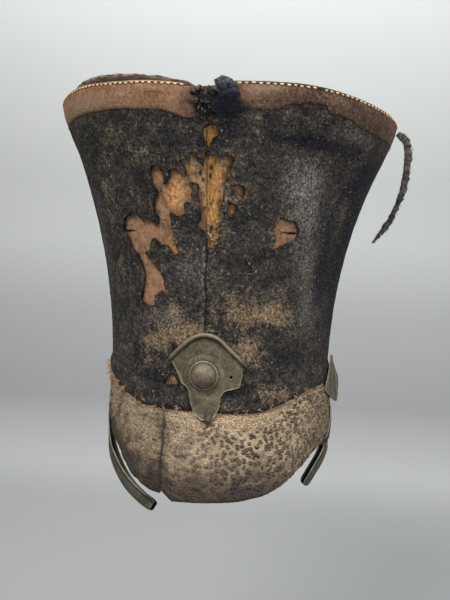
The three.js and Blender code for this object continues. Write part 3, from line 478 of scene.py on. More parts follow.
def cut_grid(columns, rows, field, closed):
    """Cuts a grid of (column, row) values where field is 0 and keeps what is above it.

    Returns the columns and rows of the kept points, and the faces."""
    m, n = len(columns), len(rows)
    grid_u, grid_v = np.meshgrid(columns, rows, indexing="ij")
    keep = field(grid_u, grid_v)
    count = m * n
    cell_i = np.arange(m if closed else m - 1)
    i, j = (a.ravel() for a in np.meshgrid(cell_i, np.arange(n - 1), indexing="ij"))
    after = (i + 1) % m
    corners = np.stack([i * n + j, after * n + j, after * n + j + 1, i * n + j + 1], axis=1)
    values = keep.ravel()[corners]
    inside = (values > 0).sum(axis=1)
    faces = corners[inside == 4].tolist()
    cuts = {}
    new_u, new_v = [], []
    flat_u, flat_v, flat_keep = grid_u.ravel(), grid_v.ravel(), keep.ravel()
    for quad in corners[(inside > 0) & (inside < 4)].tolist():
        ring = []
        for a, b in zip(quad, quad[1:] + quad[:1]):
            if flat_keep[a] > 0:
                ring.append(a)
            if (flat_keep[a] > 0) == (flat_keep[b] > 0):
                continue
            key = (min(a, b), max(a, b))
            if key not in cuts:
                lo, hi = key
                t = min(max(flat_keep[lo] / (flat_keep[lo] - flat_keep[hi]), 0.08), 0.92)
                cuts[key] = count + len(new_u)
                new_u.append(flat_u[lo] + t * (flat_u[hi] - flat_u[lo]))
                new_v.append(flat_v[lo] + t * (flat_v[hi] - flat_v[lo]))
            ring.append(cuts[key])
        faces.append(ring)
    u = np.concatenate([flat_u, new_u])
    v = np.concatenate([flat_v, new_v])
    return u, v, faces


def thick_sheet(columns, rows, field, outer, inner, closed=False):
    """A closed sheet between two faces, cut by a field. Returns points, faces, columns, rows."""
    u, v, faces = cut_grid(np.asarray(columns, float), np.asarray(rows, float), field, closed)
    used = np.unique(np.concatenate([np.asarray(f) for f in faces]))
    renumber = np.full(len(u), -1)
    renumber[used] = np.arange(len(used))
    u, v = u[used], v[used]
    faces = [renumber[f].tolist() for f in faces]
    count = len(u)
    edges = np.array([(a, b) for f in faces for a, b in zip(f, f[1:] + f[:1])])
    forward = edges[:, 0] * count + edges[:, 1]
    backward = edges[:, 1] * count + edges[:, 0]
    rims = edges[~np.isin(forward, backward)]
    points = np.concatenate([outer(u, v), inner(u, v)])
    walls = np.stack([rims[:, 1], rims[:, 0], rims[:, 0] + count, rims[:, 1] + count], axis=1).tolist()
    faces = faces + [[k + count for k in reversed(f)] for f in faces] + walls
    return points, faces, np.concatenate([u, u]), np.concatenate([v, v])


def everywhere(u, v):
    return np.ones(u.shape)


def circle(count):
    angles = np.linspace(0, 2 * math.pi, count, endpoint=False)
    return np.stack([np.cos(angles), np.sin(angles)], -1)


def ring_faces(rings, around):
    """Faces between rings of points that follow one another."""
    faces = []
    for k in range(rings - 1):
        for i in range(around):
            a, b = k * around + i, k * around + (i + 1) % around
            faces.append([a, b, b + around, a + around])
    return faces


def swept(path, across, over, section):
    """A bar along a path: section is a ring of (along across, along over) for each step."""
    k = section.shape[-2]
    sections = np.broadcast_to(section, (len(path), k, 2))
    points = path[:, None] + sections[..., :1] * across[:, None] + sections[..., 1:] * over[:, None]
    last = (len(path) - 1) * k
    faces = ring_faces(len(path), k) + [list(range(k))[::-1], [last + j for j in range(k)]]
    return points.reshape(-1, 3), faces


def curve_through(knots, steps):
    """Points and directions along a centripetal curve through the knots."""
    p = np.asarray(knots, float)
    p = np.concatenate([[2 * p[0] - p[1]], p, [2 * p[-1] - p[-2]]])
    t = np.linspace(0, len(knots) - 1, steps + 1)
    places = []
    for value in t:
        k = min(int(value), len(knots) - 2)
        w = value - k
        p0, p1, p2, p3 = p[k : k + 4]
        d0, d1, d2 = (max(np.linalg.norm(b - a) ** 0.5, 1e-4) for a, b in ((p0, p1), (p1, p2), (p2, p3)))
        start = ((p1 - p0) / d0 - (p2 - p0) / (d0 + d1) + (p2 - p1) / d1) * d1
        end = ((p2 - p1) / d1 - (p3 - p1) / (d1 + d2) + (p3 - p2) / d2) * d1
        places.append(
            (2 * w**3 - 3 * w**2 + 1) * p1 + (w**3 - 2 * w**2 + w) * start
            + (3 * w**2 - 2 * w**3) * p2 + (w**3 - w**2) * end
        )
    places = np.array(places)
    return places, unit(np.gradient(places, axis=0))


def joined(parts):
    """Points and faces of several meshes as one."""
    points, faces, start = [], [], 0
    for part_points, part_faces in parts:
        points.append(part_points)
        faces.extend([[k + start for k in face] for face in part_faces])
        start += len(part_points)
    return np.concatenate(points), faces


def square_to(along):
    """Two directions square to each direction along a bar and to each other."""
    helper = np.where(np.abs(along[..., 2:]) < 0.8, [0.0, 0.0, 1.0], [1.0, 0.0, 0.0])
    across = unit(np.cross(along, helper))
    return across, np.cross(along, across)


def strand_mesh(strands, radii, sides=4):
    """Thin threads: strands is (count, steps, 3), radii is (count,); each grows thin to its end."""
    strands = np.asarray(strands, float)
    radii = np.broadcast_to(radii, len(strands))
    count, steps = strands.shape[:2]
    across, over = square_to(unit(np.gradient(strands, axis=1)))
    taper = np.linspace(1, 0.25, steps)[None, :, None, None] * radii[:, None, None, None]
    ring = circle(sides)
    points = strands[:, :, None] + taper * (
        ring[None, None, :, :1] * across[:, :, None] + ring[None, None, :, 1:] * over[:, :, None]
    )
    s, k, c = (a.ravel() for a in np.meshgrid(
        np.arange(count), np.arange(steps - 1), np.arange(sides), indexing="ij"))
    base = (s * steps + k) * sides
    a, b = base + c, base + (c + 1) % sides
    faces = np.stack([a, b, b + sides, a + sides], 1).tolist()
    for strand in range(count):
        start = strand * steps * sides
        end = start + (steps - 1) * sides
        faces.append([start + c for c in range(sides)][::-1])
        faces.append([end + c for c in range(sides)])
    return points.reshape(-1, 3), faces


# Materials: every one is built from noise, cells and the masks that its mesh carries
class Tree:
    """A short way to write one material, whose colour is laid on in coats and whose relief adds up."""

    def __init__(self, name, metallic=0.0, specular=0.5, sheen=0.0):
        self.material = bpy.data.materials.new(name)
        self.material.use_nodes = True
        self.nodes = self.material.node_tree.nodes
        self.shader = self.nodes["Principled BSDF"]
        self.shader.inputs["Metallic"].default_value = metallic
        self.shader.inputs["Specular IOR Level"].default_value = specular
        if sheen:
            self.shader.inputs["Sheen Weight"].default_value = sheen
            self.shader.inputs["Sheen Roughness"].default_value = 0.5
        self.place = self.node("TexCoord", {}, "Object")
        self.colour = None
        self.relief = None

    def put(self, socket, value):
        if hasattr(value, "is_linked"):
            self.material.node_tree.links.new(value, socket)
        else:
            socket.default_value = value

    def node(self, kind, inputs, output, **settings):
        """A node whose inputs are numbers, colours or other nodes' outputs; returns one output."""
        node = self.nodes.new("ShaderNode" + kind)
        for name, value in settings.items():
            setattr(node, name, value)
        for name, value in inputs.items():
            self.put(node.inputs[name], value)
        return node.outputs[output]

    def stretched(self, x, y, z):
        return self.node("Mapping", {"Vector": self.place, "Scale": (x, y, z)}, "Vector")

    def noise(self, size, detail=4.0, roughness=0.6, distortion=0.0, place=None):
        """Noise with lumps of `size` millimetres, around 0.5."""
        return self.node("TexNoise", {
            "Vector": place or self.place, "Scale": 1 / (size * MM), "Detail": detail,
            "Roughness": roughness, "Distortion": distortion}, "Fac")

    def cell_edges(self, size, place):
        """Distance from the edges between cells of `size` millimetres."""
        return self.node("TexVoronoi", {"Vector": place, "Scale": 1 / (size * MM)}, "Distance",
                         feature="DISTANCE_TO_EDGE")

    def warped(self, size, amount):
        """Object coordinates pushed about by noise, both in millimetres."""
        lumps = {"Vector": self.place, "Scale": 1 / (size * MM), "Detail": 2.0}
        wobble = self.node("TexNoise", lumps, "Color")
        centred = self.node("VectorMath", {0: wobble, 1: (0.5, 0.5, 0.5)}, 0, operation="SUBTRACT")
        scaled = self.node("VectorMath", {0: centred, "Scale": 2 * amount * MM}, 0, operation="SCALE")
        return self.node("VectorMath", {0: self.place, 1: scaled}, 0, operation="ADD")

    def mask(self, name):
        return self.node("Attribute", {}, "Fac", attribute_name=name)

    def math(self, kind, a, b):
        return self.node("Math", {0: a, 1: b}, 0, operation=kind)

    def times(self, a, b):
        return self.math("MULTIPLY", a, b)

    def stirred(self, value, *swings):
        """A value with the swings of noises about their middle added, each (noise, amount)."""
        for noise_value, amount in swings:
            swing = self.times(self.math("SUBTRACT", noise_value, 0.5), amount)
            value = self.math("ADD", value, swing)
        return value

    def step(self, value, low, high, start=0.0, end=1.0):
        """Smooth step of a value from low to high."""
        return self.node("MapRange", {
            "Value": value, "From Min": low, "From Max": high, "To Min": start, "To Max": end}, "Result",
            interpolation_type="SMOOTHSTEP")

    def mix(self, amount, a, b):
        """Colour a where the amount is 0, and b where it is 1."""
        a, b = ((*v, 1.0) if isinstance(v, tuple) else v for v in (a, b))
        return self.node("Mix", {"Factor": amount, 6: a, 7: b}, 2, data_type="RGBA")

    def colours(self, value, stops):
        node = self.nodes.new("ShaderNodeValToRGB")
        self.put(node.inputs["Fac"], value)
        ramp = node.color_ramp
        while len(ramp.elements) < len(stops):
            ramp.elements.new(0.5)
        for element, (at, colour) in zip(ramp.elements, stops):
            element.position = at
            element.color = (*colour, 1.0)
        return node.outputs["Color"]

    def coat(self, amount, colour):
        self.colour = self.mix(amount, self.colour, colour)

    def fleck(self, value, low, high, strength, colour):
        """A coat that comes in as a value goes from low to high."""
        self.coat(self.step(value, low, high, 0.0, strength), colour)

    def stains(self, coats):
        """Coats of colour that follow the mesh's own masks."""
        for name, colour in coats.items():
            self.coat(self.mask(name), colour)

    def bump(self, height, distance, strength=1.0):
        """Adds relief of `distance` millimetres for a height from 0 to 1."""
        inputs = {"Distance": distance * MM, "Strength": strength, "Height": height}
        if self.relief is not None:
            inputs["Normal"] = self.relief
        self.relief = self.node("Bump", inputs, "Normal")

    def finish(self, roughness):
        self.put(self.shader.inputs["Base Color"], self.colour)
        self.put(self.shader.inputs["Roughness"], roughness)
        if self.relief is not None:
            self.put(self.shader.inputs["Normal"], self.relief)
        return self.material


def felt_material():
    """Black felt, napped, creased, dusted, rubbed brown in specks and drifts; painted sheen and painted
    shade.
    """
    t = Tree("worn_felt", specular=0.12)
    fine = t.noise(1.4, roughness=0.7)
    clumps = t.noise(4.5, detail=5, roughness=0.7, distortion=0.4)
    drifts = t.noise(20.0, distortion=0.5)
    charcoal = t.colours(fine, [
        (0.34, (0.02, 0.0165, 0.014)), (0.5, (0.052, 0.044, 0.037)), (0.7, (0.13, 0.112, 0.094))])
    black = t.colours(fine, [
        (0.34, (0.007, 0.0065, 0.007)), (0.52, (0.021, 0.019, 0.019)), (0.72, (0.062, 0.056, 0.052))])
    rubbed = t.colours(fine, [
        (0.34, (0.07, 0.046, 0.027)), (0.5, (0.185, 0.132, 0.079)), (0.66, (0.38, 0.28, 0.175))])
    # Pale grey where the dust mask lies: dust, and painted sheen along the felt's ridges
    dust_and_sheen_grey = t.mix(t.step(fine, 0.36, 0.64), (0.055, 0.05, 0.047), (0.4, 0.36, 0.32))
    # Blue-black painted shade, laid where the dark mask lies
    shade_navy = t.mix(t.step(fine, 0.38, 0.7), (0.0045, 0.0045, 0.0075), (0.036, 0.036, 0.047))
    t.colour = t.mix(t.step(t.stirred(clumps, (drifts, 0.7)), 0.36, 0.62), black, charcoal)
    t.coat(t.step(t.stirred(t.mask("wear"), (drifts, 1.8), (clumps, 2.6), (fine, 1.6)), 0.2, 1.4), rubbed)
    t.coat(t.times(t.mask("dust"), t.step(clumps, 0.3, 0.62, 0.4, 1.0)), dust_and_sheen_grey)
    shadow = t.step(t.stirred(t.mask("dark"), (clumps, 1.2)), 0.1, 1.0)
    t.coat(t.times(shadow, t.step(t.mask("dark"), 0.0, 0.3, 0.0, 0.92)), shade_navy)
    t.fleck(t.noise(2.3, detail=0), 0.79, 0.82, 0.4, (0.42, 0.38, 0.32))
    t.fleck(t.noise(1.9, detail=1, place=t.stretched(0.3, 0.3, 1.2)), 0.71, 0.76, 0.4, (0.3, 0.235, 0.15))
    # Near black round the holes and along the felt's lower edge is painted shade; along the sewn seam it is
    # the seam's dark line
    t.stains({"rim": (0.006, 0.005, 0.005)})
    t.bump(fine, 1.1)
    t.bump(clumps, 2.6)
    return t.finish(t.step(fine, 0.3, 0.7, 0.95, 0.72))


def shell_material():
    """Dry brown leather that shows through the felt, scuffed and stained, with painted shade under the
    felt's edges.
    """
    t = Tree("shell_leather", specular=0.25)
    grain = t.noise(1.4, detail=5, roughness=0.75)
    stains = t.noise(7.0, detail=6, roughness=0.75, distortion=0.6)
    t.colour = t.colours(stains, [
        (0.36, (0.12, 0.058, 0.028)), (0.5, (0.245, 0.127, 0.066)), (0.64, (0.35, 0.195, 0.105))])
    t.fleck(grain, 0.42, 0.7, 0.55, (0.42, 0.275, 0.175))
    t.fleck(grain, 0.46, 0.32, 0.75, (0.05, 0.028, 0.017))
    t.fleck(t.noise(2.4, detail=5, roughness=0.7), 0.58, 0.68, 0.75, (0.055, 0.03, 0.02))
    mottle = t.step(t.noise(2.2, detail=6, roughness=0.75), 0.38, 0.66)
    t.coat(t.mask("tan"), t.mix(mottle, (0.17, 0.09, 0.042), (0.56, 0.34, 0.165)))
    specks = t.step(t.noise(3.0, detail=5), 0.53, 0.68, 0.0, 0.75)
    t.coat(t.times(t.step(t.mask("tan"), 0.5, 0.95), specks), (0.6, 0.2, 0.05))
    bright = t.step(t.noise(2.2, detail=5), 0.4, 0.56, 0.0, 0.9)
    t.coat(t.times(t.mask("orange"), bright), (0.72, 0.3, 0.09))
    # Near black painted shade under the felt's edges and round the slits
    t.stains({"painted_shade": (0.008, 0.007, 0.006)})
    t.bump(grain, 0.4)
    t.bump(stains, 0.9, 0.7)
    return t.finish(t.step(grain, 0.3, 0.7, 0.92, 0.7))


def seam_material():
    """Golden brown seam leather with streaks, a dark seam and flaking lower end."""
    t = Tree("seam_leather", specular=0.3)
    streaks = t.noise(1.3, detail=5, roughness=0.75, place=t.stretched(1, 1, 0.3))
    blotches = t.noise(4.0, detail=5, roughness=0.7, distortion=0.4)
    specks = t.noise(1.4, roughness=0.75)
    flakes = t.noise(1.5, detail=5, roughness=0.75, distortion=0.5)
    t.colour = t.colours(streaks, [
        (0.34, (0.07, 0.028, 0.009)), (0.44, (0.26, 0.125, 0.036)),
        (0.55, (0.43, 0.205, 0.052)), (0.68, (0.62, 0.33, 0.11))])
    t.fleck(blotches, 0.5, 0.62, 0.7, (0.2, 0.1, 0.04))
    t.fleck(specks, 0.54, 0.68, 0.7, (0.075, 0.032, 0.012))
    t.fleck(specks, 0.46, 0.34, 0.5, (0.62, 0.42, 0.2))
    pale = t.colours(flakes, [
        (0.42, (0.012, 0.009, 0.008)), (0.5, (0.15, 0.075, 0.03)),
        (0.58, (0.38, 0.21, 0.095)), (0.68, (0.6, 0.42, 0.25))])
    mottled = t.mix(t.step(blotches, 0.38, 0.62), (0.115, 0.06, 0.028), (0.4, 0.25, 0.13))
    t.stains({"tan": mottled, "flaky": pale, "seam": (0.014, 0.008, 0.004)})
    t.bump(streaks, 0.5)
    t.bump(blotches, 0.8, 0.6)
    return t.finish(t.step(blotches, 0.3, 0.7, 0.8, 0.55))


def band_material():
    """Brown band leather with painted light: a lit rosy copy on one side, a shaded dark copy on the other,
    rubbed pale and speckled.
    """
    t = Tree("band_leather", specular=0.2)
    grain = t.noise(1.7, detail=5, roughness=0.8)
    clouds = t.noise(8.0, detail=5, roughness=0.65, distortion=0.4)
    lit_copy = t.colours(clouds, [
        (0.32, (0.155, 0.075, 0.039)), (0.5, (0.232, 0.122, 0.067)), (0.68, (0.305, 0.178, 0.103))])
    shaded_copy = t.colours(clouds, [
        (0.32, (0.043, 0.021, 0.013)), (0.5, (0.088, 0.047, 0.029)), (0.68, (0.145, 0.086, 0.056))])
    t.colour = t.mix(t.mask("lit_copy"), shaded_copy, lit_copy)
    t.coat(t.times(t.mask("khaki"), 0.75), (0.225, 0.165, 0.095))
    t.fleck(grain, 0.5, 0.66, 0.5, (0.4, 0.28, 0.2))
    t.fleck(grain, 0.49, 0.34, 0.72, (0.035, 0.019, 0.013))
    # The near black coat is painted shade
    t.stains({"stain": (0.14, 0.045, 0.016), "worn": (0.36, 0.25, 0.165), "painted_shade": (0.009, 0.008, 0.009)})
    t.bump(grain, 0.7)
    t.bump(clouds, 0.9, 0.5)
    return t.finish(t.step(grain, 0.3, 0.7, 0.88, 0.62))


def crown_material():
    """Dull brown leather of the crown, painted nearly black as shade below its cut edge, which is layered
    and dusted.
    """
    t = Tree("crown_leather", specular=0.3)
    grain = t.noise(1.0, detail=5, roughness=0.7)
    layers = t.noise(1.6, place=t.stretched(0.3, 0.3, 1.2))
    # Nearly black: painted shade over the crown below its pale top edge
    t.colour = t.colours(t.noise(30.0), [
        (0.35, (0.012, 0.009, 0.008)), (0.55, (0.03, 0.021, 0.016)), (0.7, (0.06, 0.044, 0.034))])
    t.fleck(grain, 0.5, 0.7, 0.35, (0.16, 0.12, 0.09))
    t.stains({"edge": t.colours(layers, [
        (0.38, (0.03, 0.02, 0.014)), (0.5, (0.24, 0.17, 0.12)), (0.62, (0.5, 0.39, 0.29))])})
    t.bump(grain, 0.4, 0.8)
    return t.finish(t.step(grain, 0.3, 0.7, 0.9, 0.7))


def peak_material():
    """Taupe peak leather: dark blisters in a tan web, fine wrinkles, painted light making its upper part
    tan, painted shade in hollows.
    """
    t = Tree("peak_leather", specular=0.3)
    grain = t.noise(1.3, detail=5, roughness=0.75)
    groove = t.step(t.cell_edges(2.0, t.warped(2.0, 1.1)), 0.2, 0.0)
    t.colour = t.colours(t.noise(12.0, detail=5, roughness=0.65), [
        (0.38, (0.2, 0.146, 0.09)), (0.5, (0.275, 0.203, 0.127)), (0.62, (0.35, 0.264, 0.168))])
    # Tan over the upper part is painted light where the peak faces the lamps
    t.coat(t.times(t.mask("tan"), 0.85), (0.53, 0.385, 0.225))
    t.fleck(grain, 0.52, 0.68, 0.4, (0.5, 0.38, 0.25))
    t.fleck(grain, 0.48, 0.33, 0.65, (0.075, 0.053, 0.035))
    t.coat(t.times(groove, t.step(t.mask("coarse"), 0.0, 1.0, 0.5, 0.2)), (0.06, 0.043, 0.03))
    # The tan web, with painted light on fold crests and at the left and right edges
    t.coat(t.times(t.mask("web_and_painted_light"), 0.38), (0.46, 0.355, 0.23))
    blister = t.mix(t.step(grain, 0.4, 0.62), (0.014, 0.011, 0.01), (0.08, 0.064, 0.055))
    # The moat mask is painted shade, and the pit mask carries some painted shade in valleys
    t.stains({"pit": blister, "moat": (0.03, 0.021, 0.016), "shade": (0.032, 0.023, 0.016)})
    t.bump(grain, 0.6)
    t.bump(t.times(groove, -1.0), 0.5, 0.8)
    return t.finish(t.step(t.mask("pit"), 0.0, 1.0, 0.78, 0.46))


def brass_material(name, dark, middle, pale, green=0.5):
    """Tarnished brass: olive film, green specks, pale rubbed edges and fine scratches."""
    t = Tree(name, metallic=0.45, specular=0.4)
    film = t.noise(6.0, detail=7, roughness=0.75, distortion=0.8)
    dust = t.noise(0.8, roughness=0.8)
    t.colour = t.colours(film, [(0.34, dark), (0.5, middle), (0.68, pale)])
    t.fleck(dust, 0.52, 0.72, 0.5, tuple(1.7 * c for c in pale))
    t.fleck(dust, 0.46, 0.3, 0.6, tuple(0.35 * c for c in dark))
    t.fleck(t.noise(2.2), 0.62, 0.69, green, (0.085, 0.1, 0.035))
    t.fleck(t.noise(1.3, detail=3), 0.66, 0.72, 0.7, tuple(0.3 * c for c in dark))
    # The near black coat is painted shade in grooves, under the rib and where parts meet
    t.stains({"rub": (0.36, 0.33, 0.24), "painted_shade": (0.012, 0.01, 0.007)})
    t.bump(dust, 0.16, 0.8)
    t.bump(film, 0.5, 0.5)
    return t.finish(t.step(film, 0.3, 0.7, 0.66, 0.46))


def thread_material(name, dark, pale, size=0.7):
    t = Tree(name, specular=0.2, sheen=0.05)
    twist = t.noise(size, roughness=0.75)
    t.colour = t.colours(twist, [(0.36, dark), (0.6, pale)])
    t.bump(twist, 0.15, 0.8)
    return t.finish(0.9)


def wool_material():
    """Navy wool with painted light: a slate grey lit copy at the top, and a nearly black shaded copy below
    and in its folds.
    """
    t = Tree("blue_wool", specular=0.08, sheen=0.1)
    fibres = t.noise(0.8, roughness=0.8)
    # The two ramps are shaded and lit copies of the wool: painted light
    low = t.colours(fibres, [(0.35, (0.003, 0.003, 0.007)), (0.65, (0.022, 0.024, 0.036))])
    high = t.colours(fibres, [(0.35, (0.018, 0.022, 0.028)), (0.65, (0.115, 0.125, 0.14))])
    t.colour = t.mix(t.mask("high"), low, high)
    t.fleck(t.noise(3.0, roughness=0.7), 0.55, 0.38, 0.75, (0.005, 0.006, 0.01))
    t.bump(fibres, 0.6)
    return t.finish(0.97)


MATERIALS = {
    "felt": felt_material(),
    "shell": shell_material(),
    "seam": seam_material(),
    "band": band_material(),
    "crown": crown_material(),
    "peak": peak_material(),
    "plate": brass_material("plate_brass", (0.04, 0.033, 0.021), (0.1, 0.084, 0.053), (0.2, 0.168, 0.108)),
    "button": brass_material(
        "button_brass", (0.058, 0.042, 0.034), (0.12, 0.096, 0.072), (0.19, 0.165, 0.11), 0.6),
    "binding": brass_material(
        "binding_brass", (0.036, 0.033, 0.024), (0.07, 0.065, 0.048), (0.115, 0.106, 0.08), 0.3),
    "strip": thread_material("torn_leather", (0.005, 0.004, 0.004), (0.09, 0.078, 0.066), 2.2),
    "stitch": thread_material("pale_thread", (0.3, 0.175, 0.07), (0.74, 0.52, 0.27)),
    "orange": thread_material("orange_thread", (0.14, 0.075, 0.034), (0.5, 0.33, 0.18)),
    "black": thread_material("black_thread", (0.003, 0.003, 0.003), (0.024, 0.021, 0.02)),
    "shred": thread_material("shredded_leather", (0.009, 0.007, 0.006), (0.13, 0.095, 0.07), 1.7),
    "wool": wool_material(),
}


# Tan and orange spots of the shell: turn, share of the height, reach round, reach up, strength
SHELL_TAN = [
    (-10.5, 0.69, 3.6, 0.07, 1.2), (-6, 0.76, 3, 0.05, 0.9), (-0.5, 0.86, 3, 0.03, 0.6),
    (-13.4, 0.508, 2, 0.016, 0.9), (-19, 0.35, 4, 0.03, 0.4), (7, 0.75, 3, 0.06, 0.5),
    # The spots at turns 10.3 and 8.6 also paint light: paler leather where the felt's edge shades it
    (10.3, 0.67, 2, 0.03, 0.7), (8.6, 0.62, 2, 0.03, 1.0), (-15, 0.53, 2.5, 0.02, 0.8),
]
SHELL_ORANGE = [
    (-14.2, 0.693, 1.5, 0.03, 1.3), (-13.8, 0.665, 1.3, 0.02, 0.9),
    (-13.2, 0.508, 1.6, 0.016, 1.2), (-11.8, 0.7, 3, 0.03, 0.4),
]


# Pieces
def make_shell():
    columns = uneven([
        (-180, -42, 3.0), (-42, -10, 0.4), (-10, 10, 1.0), (10, 26, 0.8), (26, 38, 0.4),
        (38, 180, 3.0)])[:-1]
    rows = uneven([
        (0, 0.3, 0.02), (0.3, 0.66, 0.0035), (0.66, 0.9, 0.006), (0.9, 1 - share(SHELL_BELOW_RIM), 0.02)])

    def field(turn, up):
        away = np.full(turn.shape, FAR)
        for start, end, height in SHELL_SLITS:
            half = share(SLIT_HEIGHT) / 2
            middle = (start + end) / 2
            outline = [(start, height), (middle, height - half), (end, height), (middle, height + half)]
            away = np.minimum(away, outside_distance(turn, up, outline))
        return away

    def face(out):
        return lambda turn, up: body_point(turn, up, out + 0.12 * rough(body_point(turn, up, 0), 9.0, 3))

    points, faces, turn, up = thick_sheet(columns, rows, field, face(-0.1), face(-SHELL_WALL), closed=True)
    tan = patch_mask(turn, up, SHELL_TAN)
    orange = patch_mask(turn, up, SHELL_ORANGE)
    p = flat(turn, up)
    # Painted shade where the felt's edges overhang the leather, and round the slits
    under_edge = np.exp(-np.maximum(-holes_distance(turn, up), 0) / 0.8) * (0.5 + 0.5 * noise(p, 2.5, 4))
    painted_shade = under_edge * bump_at(turn, FRONT_REACH) + patch_mask(turn, up, [(-39.5, 0.572, 1.6, 0.02, 1.2)])
    for start, end, height in SHELL_SLITS:
        across = (up - height) * BODY_HEIGHT - 0.5 * noise(p, 3.0, 5)
        along = np.maximum(np.abs(turn - (start + end) / 2) - (end - start) / 2, 0) * MM_PER_DEGREE
        painted_shade = np.maximum(painted_shade, 1.1 * bump_at(across, 0.75) * bump_at(along, 0.8))
    new_piece("shell_skin", points, faces, "shell", ["body_shell"],
              {"tan": np.clip(tan, 0, 1), "orange": np.clip(orange, 0, 1), "painted_shade": np.clip(painted_shade, 0, 1)})


# Spots of the felt, worn, dust with painted sheen, and painted shade: turn, share of the height, reach
# round, reach up, strength
FELT_WEAR = [
    (-8, 0.25, 9, 0.04, 1.9), (-25, 0.215, 8, 0.035, 1.0), (18, 0.2, 8, 0.05, 1.1),
    (24, 0.31, 16, 0.04, 0.65), (33, 0.05, 10, 0.028, 1.0), (-28, 0.13, 9, 0.04, 0.7),
    (-44, 0.44, 6, 0.06, 0.6), (60, 0.66, 6, 0.05, 0.8), (-32, 0.83, 16, 0.06, 0.3),
    (31, 0.325, 13, 0.05, 0.25), (22, 0.31, 11, 0.035, 0.4), (-14, 0.32, 5, 0.03, 0.9),
    (10, 0.36, 9, 0.06, 0.4), (-45, 0.68, 7, 0.08, 0.5), (4, 0.02, 8, 0.02, 0.8),
    (60, 0.79, 6, 0.03, 0.5), (160, 0.3, 40, 0.2, 0.9), (-150, 0.5, 30, 0.25, 0.7),
    (110, 0.4, 25, 0.2, 0.6), (-110, 0.3, 20, 0.15, 0.7),
]
FELT_DUST_AND_SHEEN = [
    (34, 0.73, 7.5, 0.065, 0.62), (37, 0.62, 6.5, 0.085, 0.62), (42, 0.48, 6, 0.09, 0.42),
    (47, 0.33, 6, 0.09, 0.35), (50, 0.895, 7, 0.018, 0.45), (-6, 0.45, 8, 0.06, 0.3),
    (-20, 0.3, 10, 0.03, 0.3), (-60, 0.5, 4, 0.2, 0.2),
]
FELT_PAINTED_SHADE = [
    (33, 0.85, 15, 0.022, 1.3), (58, 0.73, 6, 0.018, 1.2), (-24, 0.1, 9, 0.04, 1.1),
    (-42, 0.09, 9, 0.04, 0.5), (12, 0.06, 5, 0.04, 0.6), (36, 0.17, 8, 0.045, 0.8),
    (3, 0.93, 10, 0.02, 0.6), (-78, 0.6, 16, 0.35, 0.8), (80, 0.5, 20, 0.34, 1.4),
    (66, 0.8, 9, 0.05, 0.7), (-10, 0.84, 6, 0.03, 0.7), (6, 0.87, 6, 0.04, 0.7), (-8, 0.55, 4, 0.06, 0.5),
    (12, 0.6, 4, 0.08, 0.5), (-26, 0.73, 4, 0.06, 0.5), (-42, 0.58, 3, 0.04, 0.6),
    (22, 0.6, 3, 0.04, 0.4), (53, 0.5, 5, 0.15, 0.7), (24, 0.42, 5, 0.04, 0.7),
    (-30, 0.9, 14, 0.012, 0.6), (20, 0.74, 7, 0.06, 0.4),
]


# Shares of the height between which the felt's sewn seam comes into sight, and where it has come open
SEWN_SEAM_STARTS = (0.16, 0.19)
SEWN_SEAM_TOP = 0.52


def seam_turn(up):
    """Where the felt's wavering front seam runs."""
    return -0.5 + 0.5 * noise(flat(0 * up, up), 14.0, 37)


def sewn_seam(turn, up, strength, reach):
    """The felt's sewn seam, below where it has come open, as a soft line."""
    from_seam = (turn - seam_turn(up)) * MM_PER_DEGREE
    return strength * bump_at(from_seam, reach) * smoothstep(up, *SEWN_SEAM_STARTS) * (up < SEWN_SEAM_TOP)


